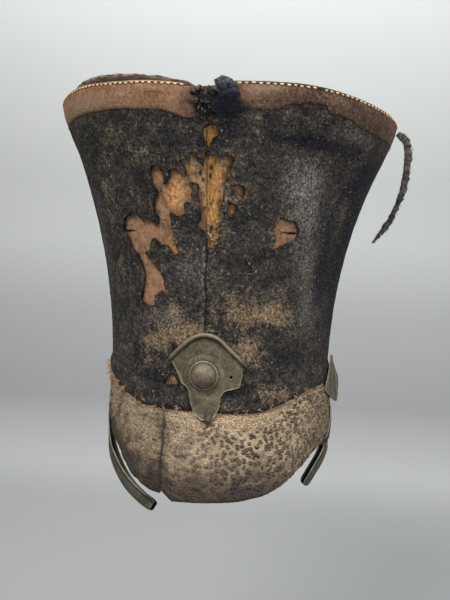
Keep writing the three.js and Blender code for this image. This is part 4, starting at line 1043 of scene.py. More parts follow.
def make_cover():
    columns = uneven([
        (-180, -60, 3.0), (-60, -40, 1.2), (-40, 14, 0.36), (14, 40, 0.6), (40, 60, 1.2),
        (60, 180, 3.0)])[:-1]
    levels = uneven([
        (0, 0.06, 0.01), (0.06, 0.13, 0.006), (0.13, 0.3, 0.014), (0.3, 0.9, 0.0055), (0.9, 1, 0.01)])

    def height(turn, level):
        low = cloth_low(turn) - share(0.5 * (1 + rough(flat(turn, 0 * turn), 5.0, 21)))
        high = band_edge(turn) - share(GAP) + share(0.5) * (rough(flat(turn, 0 * turn + 9), 1.5, 22) - 0.3)
        return low + (high - low) * level

    def field(turn, level):
        up = height(turn, level)
        p = flat(turn, up)
        ragged = 0.6 * noise(p, 2.8, 31) + 0.55 * noise(p, 1.3, 32) + 0.35 * noise(p, 6.0, 33)
        return holes_distance(turn, up) + ragged

    def outer(turn, level):
        up = height(turn, level)
        away = np.maximum(holes_distance(turn, up), 0)
        curl = 0.8 * np.exp(-away / 1.5) * (0.6 + 0.9 * noise(flat(turn, up), 5.0, 34))
        curl = curl * bump_at(turn, FRONT_REACH)
        place = body_point(turn, up, 0)
        lumps = 0.3 * rough(place, 15.0, 35) + 0.22 * rough(place, 4.5, 36)
        crease = sewn_seam(turn, up, 0.9, 0.8)
        stand = cloth_stand_off(turn, up) + CLOTH_WALL - 0.3
        return body_point(turn, up, stand + lumps + np.clip(curl, 0, 1.2) - crease)

    def inner(turn, level):
        up = height(turn, level)
        return body_point(turn, up, cloth_stand_off(turn, up))

    points, faces, turn, level = thick_sheet(columns, levels, field, outer, inner, closed=True)
    up = height(turn, level)
    away = holes_distance(turn, up)
    front = bump_at(turn, FRONT_REACH)
    wear = patch_mask(turn, up, FELT_WEAR) + 0.5 * np.exp(-np.maximum(away, 0) / 2.5) * front
    # Dust, and painted sheen along the ridge at the right and at the left side
    dust = patch_mask(turn, up, FELT_DUST_AND_SHEEN)
    # The dark mask is painted shade: at the felt's sides, under the band, in hollows, by the holes and above
    # the peak
    dark = patch_mask(turn, up, FELT_PAINTED_SHADE)
    # The rim mask is painted shade at the holes' edges and the felt's lower edge, with the dark line of the
    # sewn seam
    rim = np.clip(1 - np.maximum(away + 0.3, 0) / 1.1, 0, 1) * 0.85 * front
    seam_width = 0.5 + 0.45 * np.abs(noise(flat(0 * turn, up), 6.0, 38))
    seam = sewn_seam(turn, up, 0.95, seam_width)
    beside_seam = (turn - seam_turn(up) + 0.9) * MM_PER_DEGREE
    frayed = bump_at(beside_seam, 1.0) * smoothstep(up, 0.2, 0.3) * (up < 0.53)
    # Painted shadow along the felt's lower edge, over the peak
    hem_shadow = 0.95 * np.clip(1.25 - (up - cloth_low(turn)) * BODY_HEIGHT / 1.8, 0, 1) * front
    rim = np.maximum(np.maximum(rim, seam), hem_shadow)
    scratch_up = 0.806 - 0.0012 * (turn + 27.2)
    scratch = bump_at((up - scratch_up) * BODY_HEIGHT, 0.45) * smoothstep(turn, -28, -26.8)
    scratch = scratch * smoothstep(-turn, 19.8, 21)
    dust = np.maximum(dust, 0.9 * scratch)
    wear = wear + 1.2 * frayed * smoothstep(noise(flat(turn, up), 3.0, 39), -0.1, 0.5)
    return new_piece("felt_cover", points, faces, "felt", ["cloth_cover"], {
        "wear": np.clip(wear, 0, 1.2), "dust": np.clip(dust, 0, 1), "dark": np.clip(dark, 0, 1), "rim": rim})


# Dark pinholes of the seam strip, in the same form as the felt's spots
SEAM_HOLES = [
    (0.9, 0.765, 0.55, 0.007, 2), (0.7, 0.742, 0.5, 0.008, 2), (-2.6, 0.75, 0.6, 0.008, 1.5),
    (1.2, 0.585, 0.8, 0.009, 1.5), (-1.9, 0.73, 0.4, 0.006, 1.2), (3.8, 0.66, 0.4, 0.02, 0.8),
    (0.9, 0.66, 0.35, 0.006, 1), (0.3, 0.64, 0.3, 0.006, 1), (1.0, 0.52, 0.7, 0.01, 1),
]


def make_seam_strip():
    columns = np.arange(-STRIP_HALF_TURN, STRIP_HALF_TURN + 0.01, 0.22)
    rows = np.arange(0.34, 0.9001, 0.0028)

    def field(turn, up):
        edge = (STRIP_HALF_TURN - np.abs(turn)) * MM_PER_DEGREE - 0.3
        ends = np.minimum(up - 0.342, 0.899 - up) * BODY_HEIGHT
        tatters = rough(flat(turn, up), 3.0, 41)
        worn = outside_distance(turn, up, [(-3.5, 0.64), (-1.0, 0.65), (-0.8, 0.52), (-5, 0.5), (-5, 0.6)])
        return np.minimum(np.minimum(edge, ends) + 0.25 * tatters, worn + tatters)

    def outer(turn, up):
        p = flat(turn, up)
        groove = 0.35 * bump_at((turn + 0.55) * MM_PER_DEGREE, 0.35)
        seam = 0.15 * bump_at((turn - 0.3) * MM_PER_DEGREE, 0.8) - groove
        flakes = smoothstep(0.62 - up, 0, 0.03) * 0.45 * rough(p, 3.0, 43)
        streaks = 0.08 * rough(p * np.array([1, 0.15]), 1.5, 44)
        return body_point(turn, up, GAP + STRIP_WALL - 0.1 + seam + flakes + streaks)

    def inner(turn, up):
        return body_point(turn, up, GAP * 0.5)

    points, faces, turn, up = thick_sheet(columns, rows, field, outer, inner)
    seam = bump_at((turn + 0.55) * MM_PER_DEGREE, 0.42) * (0.7 + 0.3 * noise(flat(turn, up), 3.0, 45))
    holes = patch_mask(turn, up, SEAM_HOLES)
    tan = (1 - smoothstep(turn, -1.5, -0.7)) + smoothstep(turn, 4.1, 4.6)
    flaky = smoothstep(0.612 - up + 0.03 * rough(flat(turn, up), 4.0, 46), 0, 0.02)
    new_piece("seam_skin", points, faces, "seam", ["seam_strip"],
              {"seam": np.clip(seam + holes, 0, 1), "flaky": flaky, "tan": np.clip(tan, 0, 1)})


# Spots of painted shade on the band, in the same form as the felt's spots
BAND_PAINTED_SHADE = [
    (3.5, 0.935, 4.2, 0.024, 1.6), (6, 0.97, 2.5, 0.02, 1.0), (9, 0.93, 3.5, 0.015, 0.6),
    (34, 0.93, 22, 0.03, 0.35), (60, 0.955, 14, 0.03, 0.3), (-5.5, 0.94, 3.5, 0.03, 0.45),
]


def make_band():
    columns = uneven([(-180, -30, 1.2), (-30, -8, 0.6), (-8, 6, 0.25), (6, 40, 0.6), (40, 180, 1.2)])[:-1]
    rows = np.array([
        0, 0.03, 0.08, 0.15, 0.22, 0.29, 0.36, 0.42, 0.48, 0.54, 0.6, 0.66, 0.72, 0.78, 0.83, 0.87, 0.895,
        0.915, 0.93, 0.945, 0.96, 0.975, 0.987, 1])

    def height(turn, row):
        low = band_edge(turn)
        dip = share(1.6) * bump_at(turn + 2, 4.0)
        return low + (1 - dip - low) * row

    def field(turn, row):
        up = height(turn, row)
        p = flat(turn, up)
        return tear_distance(turn, up) + 0.7 * noise(p, 2.4, 51) + 0.5 * noise(p, 1.1, 52) - 0.2

    def outer(turn, row):
        up = height(turn, row)
        swell = [-0.5, 0.15, BAND_CROWNING, 0.3, 0.05, -0.35]
        crowning = np.interp(row, [0, 0.08, 0.5, 0.88, 0.97, 1], swell)
        place = body_point(turn, up, 0)
        relief = 0.16 * rough(place, 8.0, 53) + 0.06 * rough(place, 1.8, 54)
        return body_point(turn, up, cloth_stand_off(turn, 1 + 0 * up) + BAND_WALL + crowning + relief)

    def inner(turn, row):
        return body_point(turn, height(turn, row), cloth_stand_off(turn, 1 + 0 * turn))

    points, faces, turn, row = thick_sheet(columns, rows, field, outer, inner, closed=True)
    up = height(turn, row)
    p = flat(turn, up)
    # Painted light: the lit copy on the left and round the back, the shaded copy on the right
    lit_copy = 1 - smoothstep(turn + 3 * noise(p, 8.0, 55), -12, 26)
    lit_copy = np.maximum(lit_copy, smoothstep(np.abs(turn), 120, 150))
    worn = 0.55 * smoothstep(row, 0.86, 1) * (0.5 + 0.5 * noise(p, 4.0, 56)) + patch_mask(
        turn, up, [(15, 0.985, 6, 0.012, 0.45), (-40, 0.95, 14, 0.015, 0.3)])
    tear = tear_distance(turn, up)
    # Painted shade round the tear, under the wool, along the line of stitches and at the band's top and
    # lower edges
    spots = patch_mask(turn, up, BAND_PAINTED_SHADE) * (1 + 0.5 * noise(p, 2.0, 58))
    painted_shade = np.clip(np.exp(-np.maximum(tear, 0) / 1.6) * 0.85 + spots, 0, 1)
    below_top = (1 - up) * BODY_HEIGHT
    painted_shade = np.maximum(painted_shade, 1 - smoothstep(np.abs(below_top - STITCH_DROP), 0.4, 0.75))
    painted_shade = np.maximum(painted_shade, 0.75 * (1 - smoothstep(below_top, 0.4, 0.9)) * smoothstep(turn, 0, 14))
    painted_shade = np.maximum(painted_shade, 0.4 * np.clip(1 - row / 0.06, 0, 1) * (0.5 + 0.5 * noise(p, 3.0, 57)))
    khaki = smoothstep(-turn, 22, 50) * (1 - smoothstep(-turn, 110, 130)) * (1 - smoothstep(row, 0.35, 0.75))
    khaki = khaki * (0.8 + 0.4 * noise(p, 6.0, 59))
    crack = np.abs((up - 0.965) * BODY_HEIGHT - 1.5 * noise(p, 5.0, 60) - 0.25 * (turn + 14))
    stain = bump_at(crack, 0.5) * bump_at(turn + 14, 3.8)
    spots = patch_mask(turn, up, [(-16.5, 0.965, 2.5, 0.009, 0.6), (-72, 0.985, 6, 0.02, 0.7)])
    stain += spots * (1 + 0.4 * noise(p, 2.5, 64))
    new_piece("band_skin", points, faces, "band", ["top_band"],
              {"lit_copy": lit_copy, "worn": np.clip(worn, 0, 1), "painted_shade": painted_shade, "khaki": np.clip(khaki, 0, 1),
               "stain": np.clip(stain, 0, 1)})


# How far the stitches lie below the band's top edge, in millimetres
STITCH_DROP = 1.25
# In degrees: from stitch to stitch, and where stitches are lost
STITCH_PITCH = 1.92
STITCHES_LOST = (-5.8, 8)
LONE_STITCH_LOST = 32


def make_stitches():
    """One pale stitch after another over the rim, each a small fat bead of thread."""
    turns = np.arange(-180, 180, STITCH_PITCH)
    turns = turns[(turns < STITCHES_LOST[0]) | (turns > STITCHES_LOST[1])]
    turns = turns[np.abs(turns - LONE_STITCH_LOST) > 1.0]
    rng = np.random.default_rng(5)
    parts = []
    t = np.linspace(-1, 1, 7)
    for turn in turns:
        middle = turn + rng.normal(0, 0.05)
        half = 0.36 * STITCH_PITCH * rng.uniform(0.7, 0.98)
        seat = cloth_stand_off(middle, 1) + BAND_WALL - 0.35
        lift = 0.55 * (1 - t**4)
        up = 1 - share(STITCH_DROP + rng.normal(0, 0.09))
        path = body_point(middle + half * t, up, seat + lift)
        along = unit(np.gradient(path, axis=0))
        outward = facing(middle, 1)
        across = unit(np.cross(along, outward))
        over = np.cross(across, along)
        fat = rng.uniform(0.46, 0.6) * np.sqrt(np.clip(1 - t**4, 0.1, 1))
        parts.append(swept(path, across, over, fat[:, None, None] * circle(8)))
    points, faces = joined(parts)
    new_piece("rim_stitches", points, faces, "stitch")


def make_crown():
    columns = np.arange(-180, 180, 1.5)
    outer_out = -(SHELL_WALL + GAP)
    inner_out = outer_out - CROWN_WALL
    floor_up = 1 - share(CROWN_SINK)

    def top_up(turn):
        stands = table_at(FLANGE_TOP, 1, turn)
        frays = 0.5 * rough(flat(turn, 0 * turn), 2.2, 61) * smoothstep(stands, 0.1, 0.5)
        return 1 + (stands * FLANGE_RISE + frays) / BODY_HEIGHT

    def floor_point(turn, reach, above):
        edge = body_point(turn, floor_up + 0 * turn, inner_out)
        middle = np.stack([RIM_LEAN * floor_up + 0 * turn, 0 * turn, edge[..., 2]], -1)
        at = middle + (edge - middle) * reach
        place = np.stack([at[..., 0], at[..., 1], 0 * turn], -1)
        waves = 0.35 * rough(place, 34.0, 62) * (1 - reach**6) if above else 0
        at[..., 2] -= CROWN_DISH * (1 - reach * reach) + (0 if above else CROWN_WALL) + waves
        return at

    under_rings, wall_rings, floor_rings = 12, 12, 34
    rings = [(lambda t, r=r: floor_point(t, r, False)) for r in np.linspace(0.06, 0.94, under_rings)]
    rings += [lambda t: body_point(t, floor_up - share(CROWN_WALL), (outer_out + inner_out) / 2)]
    flange = range(len(rings), len(rings) + 2 * wall_rings)
    for level in np.linspace(0, 1, wall_rings):
        rings.append(lambda t, k=level: body_point(
            t, floor_up + (top_up(t) - floor_up) * k, outer_out - (0.3 if k == 0 else 0)))
    for level in np.linspace(1, 0, wall_rings):
        rings.append(lambda t, k=level: body_point(
            t, floor_up + share(CROWN_WALL) + (top_up(t) - floor_up - share(CROWN_WALL)) * k,
            inner_out + 0.35 * rough(flat(t, k * 9 + 0 * t), 3.0, 63)))
    rings += [(lambda t, r=r: floor_point(t, r, True)) for r in np.linspace(0.97, 0.03, floor_rings)]
    n = len(columns)
    grid = [ring(columns) for ring in rings]
    tops = body_point(columns, top_up(columns), outer_out)[:, 2]
    off_notch = 1 - bump_at(columns - 0.5, 6)
    edge_mask = np.concatenate([
        (k in flange) * off_notch * np.exp(-np.maximum(tops - ring[:, 2] - 0.2, 0) / 0.8)
        for k, ring in enumerate(grid)])
    points = np.concatenate(grid)
    faces = ring_faces(len(rings), n)
    under = grid[0].mean(axis=0)
    over = grid[-1].mean(axis=0)
    points = np.concatenate([points, [under, over]])
    edge_mask = np.concatenate([edge_mask, [0, 0]])
    last = (len(rings) - 1) * n
    faces += [[len(points) - 2, (i + 1) % n, i] for i in range(n)]
    faces += [[len(points) - 1, last + i, last + (i + 1) % n] for i in range(n)]
    new_piece("crown_skin", points, faces, "crown", ["crown"], {"edge": edge_mask})


def peak_wall(row):
    return PEAK_ROOT_WALL + (PEAK_WALL - PEAK_ROOT_WALL) * smoothstep(row, 0, 0.28)


def crease_turn(row):
    """Where the fold runs that ends in the split: it leans to the wearer's right toward the root."""
    return PEAK_SPLIT_TURN - 5.6 * (1 - np.clip(row, 0, 0.86) / 0.86) ** 1.2


def peak_outer(turn, row):
    """The peak's outer face: row -1 is the top of its root, 0 the felt's edge and 1 its edge."""
    turn, row = np.broadcast_arrays(np.asarray(turn, float), np.asarray(row, float))
    base = GAP + peak_wall(row)
    r = np.maximum(row, 0)
    left = 1 - r

    def bend(first, second):
        return 3 * left * left * r * first + 3 * left * r * r * second + r**3

    out = PEAK_OUT * table_at(PEAK_EDGE, 1, turn) * bend(PEAK_BEND["first_out"], PEAK_BEND["second_out"])
    down = PEAK_DROP * table_at(PEAK_EDGE, 2, turn) * bend(PEAK_BEND["first_down"], PEAK_BEND["second_down"])
    crease = PEAK_CREASE_DEPTH * bump_at(turn - crease_turn(row), PEAK_CREASE_REACH)
    crease = crease * smoothstep(row, 0, 0.4)
    up = cloth_low(turn) - share(down) - np.minimum(row, 0) * share(PEAK_ROOT)
    return body_point(turn, up, base + out - crease)


def peak_normal(turn, row):
    step, reach = 0.02, 1.0
    along = peak_outer(turn + reach, row) - peak_outer(turn - reach, row)
    low = np.minimum(row + step, 1)
    down = peak_outer(turn, low) - peak_outer(turn, low - 2 * step)
    return unit(np.cross(down, along))


def peak_middle(turn, row):
    return peak_outer(turn, row) - 0.5 * peak_wall(row)[..., None] * peak_normal(turn, row)


def peak_flat(turn, row):
    """Flat millimetres over the peak, for noise."""
    return np.stack([turn * PEAK_MM_PER_DEGREE, row * PEAK_LENGTH], -1)


def peak_relief(turn, row):
    """Height of the leather's grain in millimetres, and as masks its blisters, its painted shade and its web
    with painted light.
    """
    p = peak_flat(turn, row)
    s, t = p[..., 0], p[..., 1]
    warp = np.stack([rough(p, 7.0, 71), rough(p, 7.0, 72)], -1) * 1.6
    right = smoothstep(turn + 5 * noise(p, 15.0, 88), -14, 12)
    far_right = smoothstep(turn, 22, 48)
    coarse = smoothstep(row + 0.1 * noise(p, 12.0, 87) + 0.18 * far_right, 0.16, 0.36)
    coarse = coarse * (0.25 + 0.75 * right)
    near, _, mark = cells((p + warp) * np.array([1, 1.15]), 3.7, 73)
    size = 0.1 + 0.2 * mark
    blister = (1 - smoothstep(near, size - 0.1, size + 0.06)) * smoothstep(mark, 0.12, 0.3) * coarse
    moat = bump_at(near - size - 0.09, 0.12) * smoothstep(mark, 0.12, 0.3) * coarse
    small_near, small_next, _ = cells(p + 0.9 * warp, 2.3, 74)
    small_groove = 1 - smoothstep(small_next - small_near, 0, 0.3)
    wrinkle = rough(np.stack([s * 0.3 + 2 * rough(p, 9.0, 89), t], -1), 2.6, 75)
    folds = rough(np.stack([0.75 * s + 0.65 * t, 0.22 * (t - s)], -1), 4.2, 76)
    left = 1 - smoothstep(turn, -30, -16)
    middle = (1 - left) * (1 - 0.7 * right) * smoothstep(row, 0.06, 0.2)
    height = 0.65 * blister - 0.8 * moat + 0.28 * (1 - small_groove) * (1 - 0.6 * blister)
    height += 0.95 * wrinkle * (middle + 0.35 * (1 - smoothstep(row, 0.2, 0.6)) * (1 - left))
    height += 1.3 * folds * left * (1 - 0.5 * smoothstep(row, 0.5, 1.0))
    height += 0.5 * rough(p, 11.0, 77) + 0.5 * rough(p, 3.4, 78)
    web = np.clip(0.35 * coarse * smoothstep(near, size + 0.12, size + 0.35), 0, 1)
    # Painted light on fold crests, the left lobe and the far right
    crests = 0.7 * smoothstep(folds * left + wrinkle * middle, 0.25, 0.8)
    edges = 0.45 * left + 0.3 * far_right
    web_and_painted_light = np.clip(web + crests + edges * (1 - smoothstep(row, 0.6, 0.85)), 0, 1)
    valleys = smoothstep(-(folds * left + 1.25 * wrinkle * middle), 0.16, 0.62)
    low = smoothstep(-rough(p, 3.4, 78), 0.1, 0.6)
    cracks = bump_at(row - 0.8 - 0.012 * noise(p, 3.0, 79), 0.008) * bump_at(turn + 8, 3.5)
    faded = 0.68 + 0.32 * smoothstep(rough(p, 9.0, 90), -0.3, 0.4)
    # Dark blisters, with some painted shade in the fold valleys
    pit = np.clip(0.92 * faded * blister + 0.3 * valleys, 0, 1)
    # Painted shade in the moats, grain grooves, low hollows and fold valleys; the cracks are real
    dark = faded * moat + 0.3 * small_groove * (1 - 0.6 * coarse) + 0.32 * low + 0.46 * valleys
    return height - 0.5 * cracks, pit, np.maximum(np.clip(dark, 0, 1), cracks), web_and_painted_light


def make_peak():
    columns = uneven([(-PEAK_HALF_TURN, -22, 0.5), (-22, -6, 0.3), (-6, PEAK_HALF_TURN, 0.42)])
    rows = uneven([(-1, 0, 0.25), (0, 1, 0.0088)])

    def field(turn, row):
        away = outside_distance(turn, row * 0.35, [(a, b * 0.35) for a, b in PEAK_SPLIT])
        p = peak_flat(turn, row)
        split = away + 0.25 * noise(p, 1.5, 81)
        corner = (PEAK_HALF_TURN - np.abs(turn)) * 1.6 + 0.5 + 1.2 * (1 - row)
        edge = (1 - row) * PEAK_LENGTH + 0.6 - 0.6 * (0.5 + 0.5 * noise(p, 5.0, 82))
        return np.minimum(np.minimum(split, corner), edge)

    def outer(turn, row):
        normal = peak_normal(turn, row)
        height = peak_relief(turn, row)[0]
        round_off = -1.0 * smoothstep(row, 0.965, 1.0) ** 2
        lift = (height - 0.15) * smoothstep(row, -0.02, 0.08) + round_off
        return peak_outer(turn, row) + lift[..., None] * normal

    def inner(turn, row):
        normal = peak_normal(turn, row)
        round_off = 0.6 * smoothstep(row, 0.965, 1.0) ** 2
        return peak_outer(turn, row) - (peak_wall(row) - round_off)[..., None] * normal

    points, faces, turn, row = thick_sheet(columns, rows, field, outer, inner)
    _, pit, moat, web_and_painted_light = peak_relief(turn, row)
    half = len(turn) // 2
    under = np.arange(len(turn)) >= half
    p = peak_flat(turn, row)
    # Painted light: tan over the peak's upper middle, which faces up to the light
    tan = (1 - smoothstep(row, 0.05, 0.5)) * smoothstep(turn, -18, 2) * (0.8 + 0.4 * noise(p, 7.0, 83))
    coarse = smoothstep(row, 0.16, 0.42) * (0.25 + 0.75 * smoothstep(turn, -14, -2))
    coarse = np.where(under, 0, coarse * (0.75 + 0.25 * noise(p, 9.0, 85)))
    shade = smoothstep(row + 0.1 * rough(p, 6.0, 84), 0.6, 0.95) * 0.96
    shade = shade * (1 - 0.65 * smoothstep(turn, 18, 42))
    wavy = turn - crease_turn(row) + 0.2 + 0.5 * noise(peak_flat(0 * turn, row), 9.0, 86)
    shade += 0.95 * bump_at(wavy, 0.8) * smoothstep(row, 0.02, 0.3)
    shade += 0.2 * bump_at(turn - crease_turn(row) + 2.5, 3.2) * smoothstep(row, 0.0, 0.3)
    shade += 0.9 * (1 - smoothstep(row, 0.0, 0.045))
    shade += patch_mask(turn, row, [
        (-45, 0.25, 6, 0.18, 0.2), (-30, 0.6, 7, 0.15, 0.12), (10, 0.8, 14, 0.12, 0.15)])
    shade = np.where(under, 0.55, shade)
    new_piece("peak_skin", points, faces, "peak", ["peak"], {
        "pit": np.where(under, 0, pit), "moat": np.where(under, 0, moat), "web_and_painted_light": np.where(under, 0, web_and_painted_light),
        "tan": np.clip(tan, 0, 1), "shade": np.clip(shade, 0, 1), "coarse": np.clip(coarse, 0, 1)})


def make_binding(name, node, binding):
    """A brass channel that grips the peak's corner and springs away, as in the part's source."""
    side, grips = binding["side"], binding["grips"]
    step = 2 * PEAK_HALF_TURN / PEAK_COLUMNS
    gripped = []
    for i in range(grips + 1):
        turn = np.array(side * (PEAK_HALF_TURN - i * step), float)
        edge = peak_middle(turn, np.array(1.0))
        inward = unit(peak_middle(turn, np.array(0.82)) - edge)
        gripped.append((edge - inward * (i / grips) * BINDING_SLIP * BINDING_WIDTH, inward))

    def placed(x, y, down):
        return np.array([x * BASE_WIDTH / 2, y * BASE_LENGTH / 2, -down * PEAK_DROP])

    knots = [at for at, _ in gripped] + [placed(*row) for row in binding["loose"]]
    path, along = curve_through(knots, 90)
    t = np.linspace(0, len(knots) - 1, len(path))
    start_in, end_in = gripped[0][1], gripped[-1][1]
    target = placed(*binding["opens_to"])
    early = np.clip(t / grips, 0, 1)[:, None]
    late = smoothstep(np.clip((t - grips) / len(binding["loose"]), 0, 1), 0, 1)[:, None]
    inward = start_in * (1 - early) + end_in * early
    inward = inward * (1 - late) + unit(target - path) * late
    across = unit(inward - (inward * along).sum(-1, keepdims=True) * along)
    over = np.cross(along, across)
    back = -(GRIP_GAP + BINDING_WALL)
    front = back + BINDING_WIDTH
    half = PEAK_WALL / 2 + GRIP_GAP
    full = half + BINDING_WALL
    angles = np.radians(np.linspace(90, 270, 9))

    def bend(start, reach, tall):
        return np.stack([start + reach + reach * np.cos(angles), tall * np.sin(angles)], -1)

    bend_out = bend(back, full * 0.9, full)
    bend_in = bend(-GRIP_GAP, half * 0.8, half)[::-1]
    bead = 0.35
    ring = np.concatenate([
        [[front, full - 0.1], [front - 0.5, full + 0.12], [front - 1.3, full]],
        [[front - 1.9, full - 0.22], [front - 2.6, full]],
        bend_out,
        [[front - 2.6, -full], [front - 1.9, -full + 0.22]],
        [[front - 1.3, -full], [front - 0.5, -full - 0.12], [front, -full + 0.1]],
        [[front + 0.05, -half - bead * 0.3], [front - 0.4, -half]],
        bend_in,
        [[front - 0.4, half], [front + 0.05, half + bead * 0.3]],
    ])
    rolled_edges = [0, 1, 17, 18, 19, 20]
    pressed_lines = [3, 15]
    channel = slice(-13, -2)
    middle = ring.mean(axis=0)
    rounded = 8
    end = np.clip((np.arange(len(path)) - (len(path) - rounded)) / (rounded - 1), 0, 1)
    rounding = 0.75 if side > 0 else 0.45
    squeeze = np.sqrt(np.clip(1 - rounding * end**3, 0.05, 1))[:, None, None]
    section = middle + (ring - middle) * np.concatenate([squeeze, squeeze], -1)
    ripple = 0.12 * rough(path, 12.0, 91)[:, None, None]
    points, faces = swept(path, across, over, section + ripple)
    count = len(ring)
    on_edge = np.zeros(count)
    on_edge[rolled_edges] = 0.8
    rub = np.tile(on_edge, len(path)) * (0.6 + 0.4 * noise(points, 4.0, 92))
    # Painted shade in the pressed lines and inside the channel
    groove = np.zeros(count)
    groove[pressed_lines] = 0.9
    groove[channel] = 0.1 if side > 0 else 0.75
    new_piece(name, points, faces, "binding", [node],
              {"rub": np.clip(rub, 0, 1), "painted_shade": np.tile(groove, len(path))}, sharp_degrees=70)


def plate_point(across, up, out):
    level = share(PLATE_CENTRE_HEIGHT + up)
    low_edge = ON_ROOT_FELT + GAP
    high_edge = ON_STRIP + CLOTH_WALL + GAP
    rise = np.clip(up / PLATE_HEIGHT + 0.5, 0, 1)
    below_felt = np.maximum(-level * BODY_HEIGHT, 0) * PLATE_FOOT_LEAN
    seat = low_edge + GAP + (high_edge - low_edge - GAP) * rise + below_felt
    turn = np.degrees(np.arcsin(across / (half_width(level) + seat)))
    return body_point(turn, level, seat + out)


def plate_relief(across, up):
    """Pressed form of the plate: a raised middle round the button, a rim and small dents."""
    p = np.stack(np.broadcast_arrays(across, up), -1)
    from_button = np.hypot(across, up)
    boss = 0.55 * (1 - smoothstep(from_button, BUTTON_RADIUS, BUTTON_RADIUS * 1.45))
    groove = -0.25 * bump_at(from_button - BUTTON_RADIUS * 1.5, 1.0)
    tongue = 0.5 * bump_at(across - 2.5, 5.5) * smoothstep(-up, 10, 16)
    return boss + groove + tongue + 0.3 * rough(p, 9.0, 101) + 0.05 * rough(p, 1.5, 102)


def make_front_plate():
    columns = np.linspace(0, 1, 75)
    rows = uneven([(PLATE_ROWS[0][0], PLATE_ROWS[-1][0], 0.0105)])

    def spot(along, up):
        left = table_at(PLATE_ROWS, 1, up)
        right = table_at(PLATE_ROWS, 2, up)
        return (left + (right - left) * along) * PLATE_WIDTH / 2, up * PLATE_HEIGHT

    hole_at = (RIVET_HOLE[0] * PLATE_WIDTH / 2, RIVET_HOLE[1] * PLATE_HEIGHT)

    def field(along, up):
        x, z = spot(along, up)
        return np.hypot(x - hole_at[0], z - hole_at[1]) - RIVET_HOLE_RADIUS

    def edge_of(along, up):
        x, _ = spot(along, up)
        left, _ = spot(0 * along, up)
        right, _ = spot(0 * along + 1, up)
        return np.minimum(x - left, right - x)

    def outer(along, up):
        x, z = spot(along, up)
        rim = 0.35 * bump_at(edge_of(along, up), 0.7)
        hole = 0.35 * bump_at(np.hypot(x - hole_at[0], z - hole_at[1]) - 1.6, 0.5)
        return plate_point(x, z, PLATE_WALL + np.maximum(plate_relief(x, z), -0.3) + rim + hole)

    def inner(along, up):
        x, z = spot(along, up)
        return plate_point(x, z, np.maximum(plate_relief(x, z), 0))

    points, faces, along, up = thick_sheet(columns, rows, field, outer, inner)
    sheet = (points, faces)
    rib_points = [plate_point(a * PLATE_WIDTH / 2, b * PLATE_HEIGHT, RIB_RADIUS) for a, b in PLATE_RIB]
    path, direction = curve_through(rib_points, 70)
    ahead = np.array([0.0, -1.0, 0.0])
    across = unit(np.cross(np.broadcast_to(ahead, direction.shape), direction))
    over = np.cross(direction, across)
    sides = 18
    ring = circle(sides)
    t = np.linspace(-1, 1, len(path))
    fat = RIB_RADIUS * (0.9 - 0.6 * smoothstep(np.abs(t), 0.8, 1.0)) * (1 + 0.06 * rough(path, 7.0, 103))
    rib = swept(path, across, over, fat[:, None, None] * ring)
    foot = plate_point(PLATE_WIDTH * 0.115, -PLATE_HEIGHT * 0.53, PLATE_WALL / 2)
    bends = foot + np.array([
        [-1.2, 1.0, 3.6], [-1.2, 0, 1.8], [-1.2, -1.5, 0.4],
        [-1.2, -2.6, -1.0], [-1.2, -2.4, -2.4], [-1.2, -1.4, -2.8]])
    hook_path, hook_along = curve_through(bends, 24)
    sideways = np.broadcast_to([1.0, 0.0, 0.0], hook_path.shape)
    hook_over = np.cross(hook_along, sideways)
    wide = 2.3 * np.interp(np.linspace(0, 1, 25), [0, 0.45, 1], [1.35, 0.95, 0.75])
    squash = np.array([1.0, 0.42])
    hook = swept(hook_path, sideways, unit(hook_over), wide[:, None, None] * ring * squash)
    points, faces = joined([sheet, rib, hook])
    on_sheet = slice(0, len(sheet[0]))
    on_rib = slice(on_sheet.stop, on_sheet.stop + len(rib[0]))
    on_hook = slice(on_rib.stop, None)
    rub = np.zeros(len(points))
    painted_shade = np.zeros(len(points))
    edge = edge_of(along, up)
    rub[on_sheet] = 0.7 * np.exp(-edge / 0.5) * (0.5 + 0.5 * noise(sheet[0], 3.0, 104))
    x, z = spot(along, up)
    below_rib = table_at(RIB_LINE, 1, np.abs(x)) - z
    round_button = bump_at(np.hypot(x, z) - BUTTON_RADIUS - 0.6, 0.8)
    # Painted shade under the rib, round the button and over the hook
    painted_shade[on_sheet] = 0.75 * bump_at(below_rib - 2.0, 1.3) + 0.35 * round_button
    painted_shade[on_hook] = 0.75
    facing_out = (points[on_rib] - np.repeat(path, sides, axis=0)) @ ahead
    rub[on_rib] = 0.45 * np.clip(facing_out / RIB_RADIUS, 0, 1) ** 3
    new_piece("plate_skin", points, faces, "plate", ["front_plate"],
              {"rub": np.clip(rub, 0, 1), "painted_shade": np.clip(painted_shade, 0, 1)}, sharp_degrees=60)


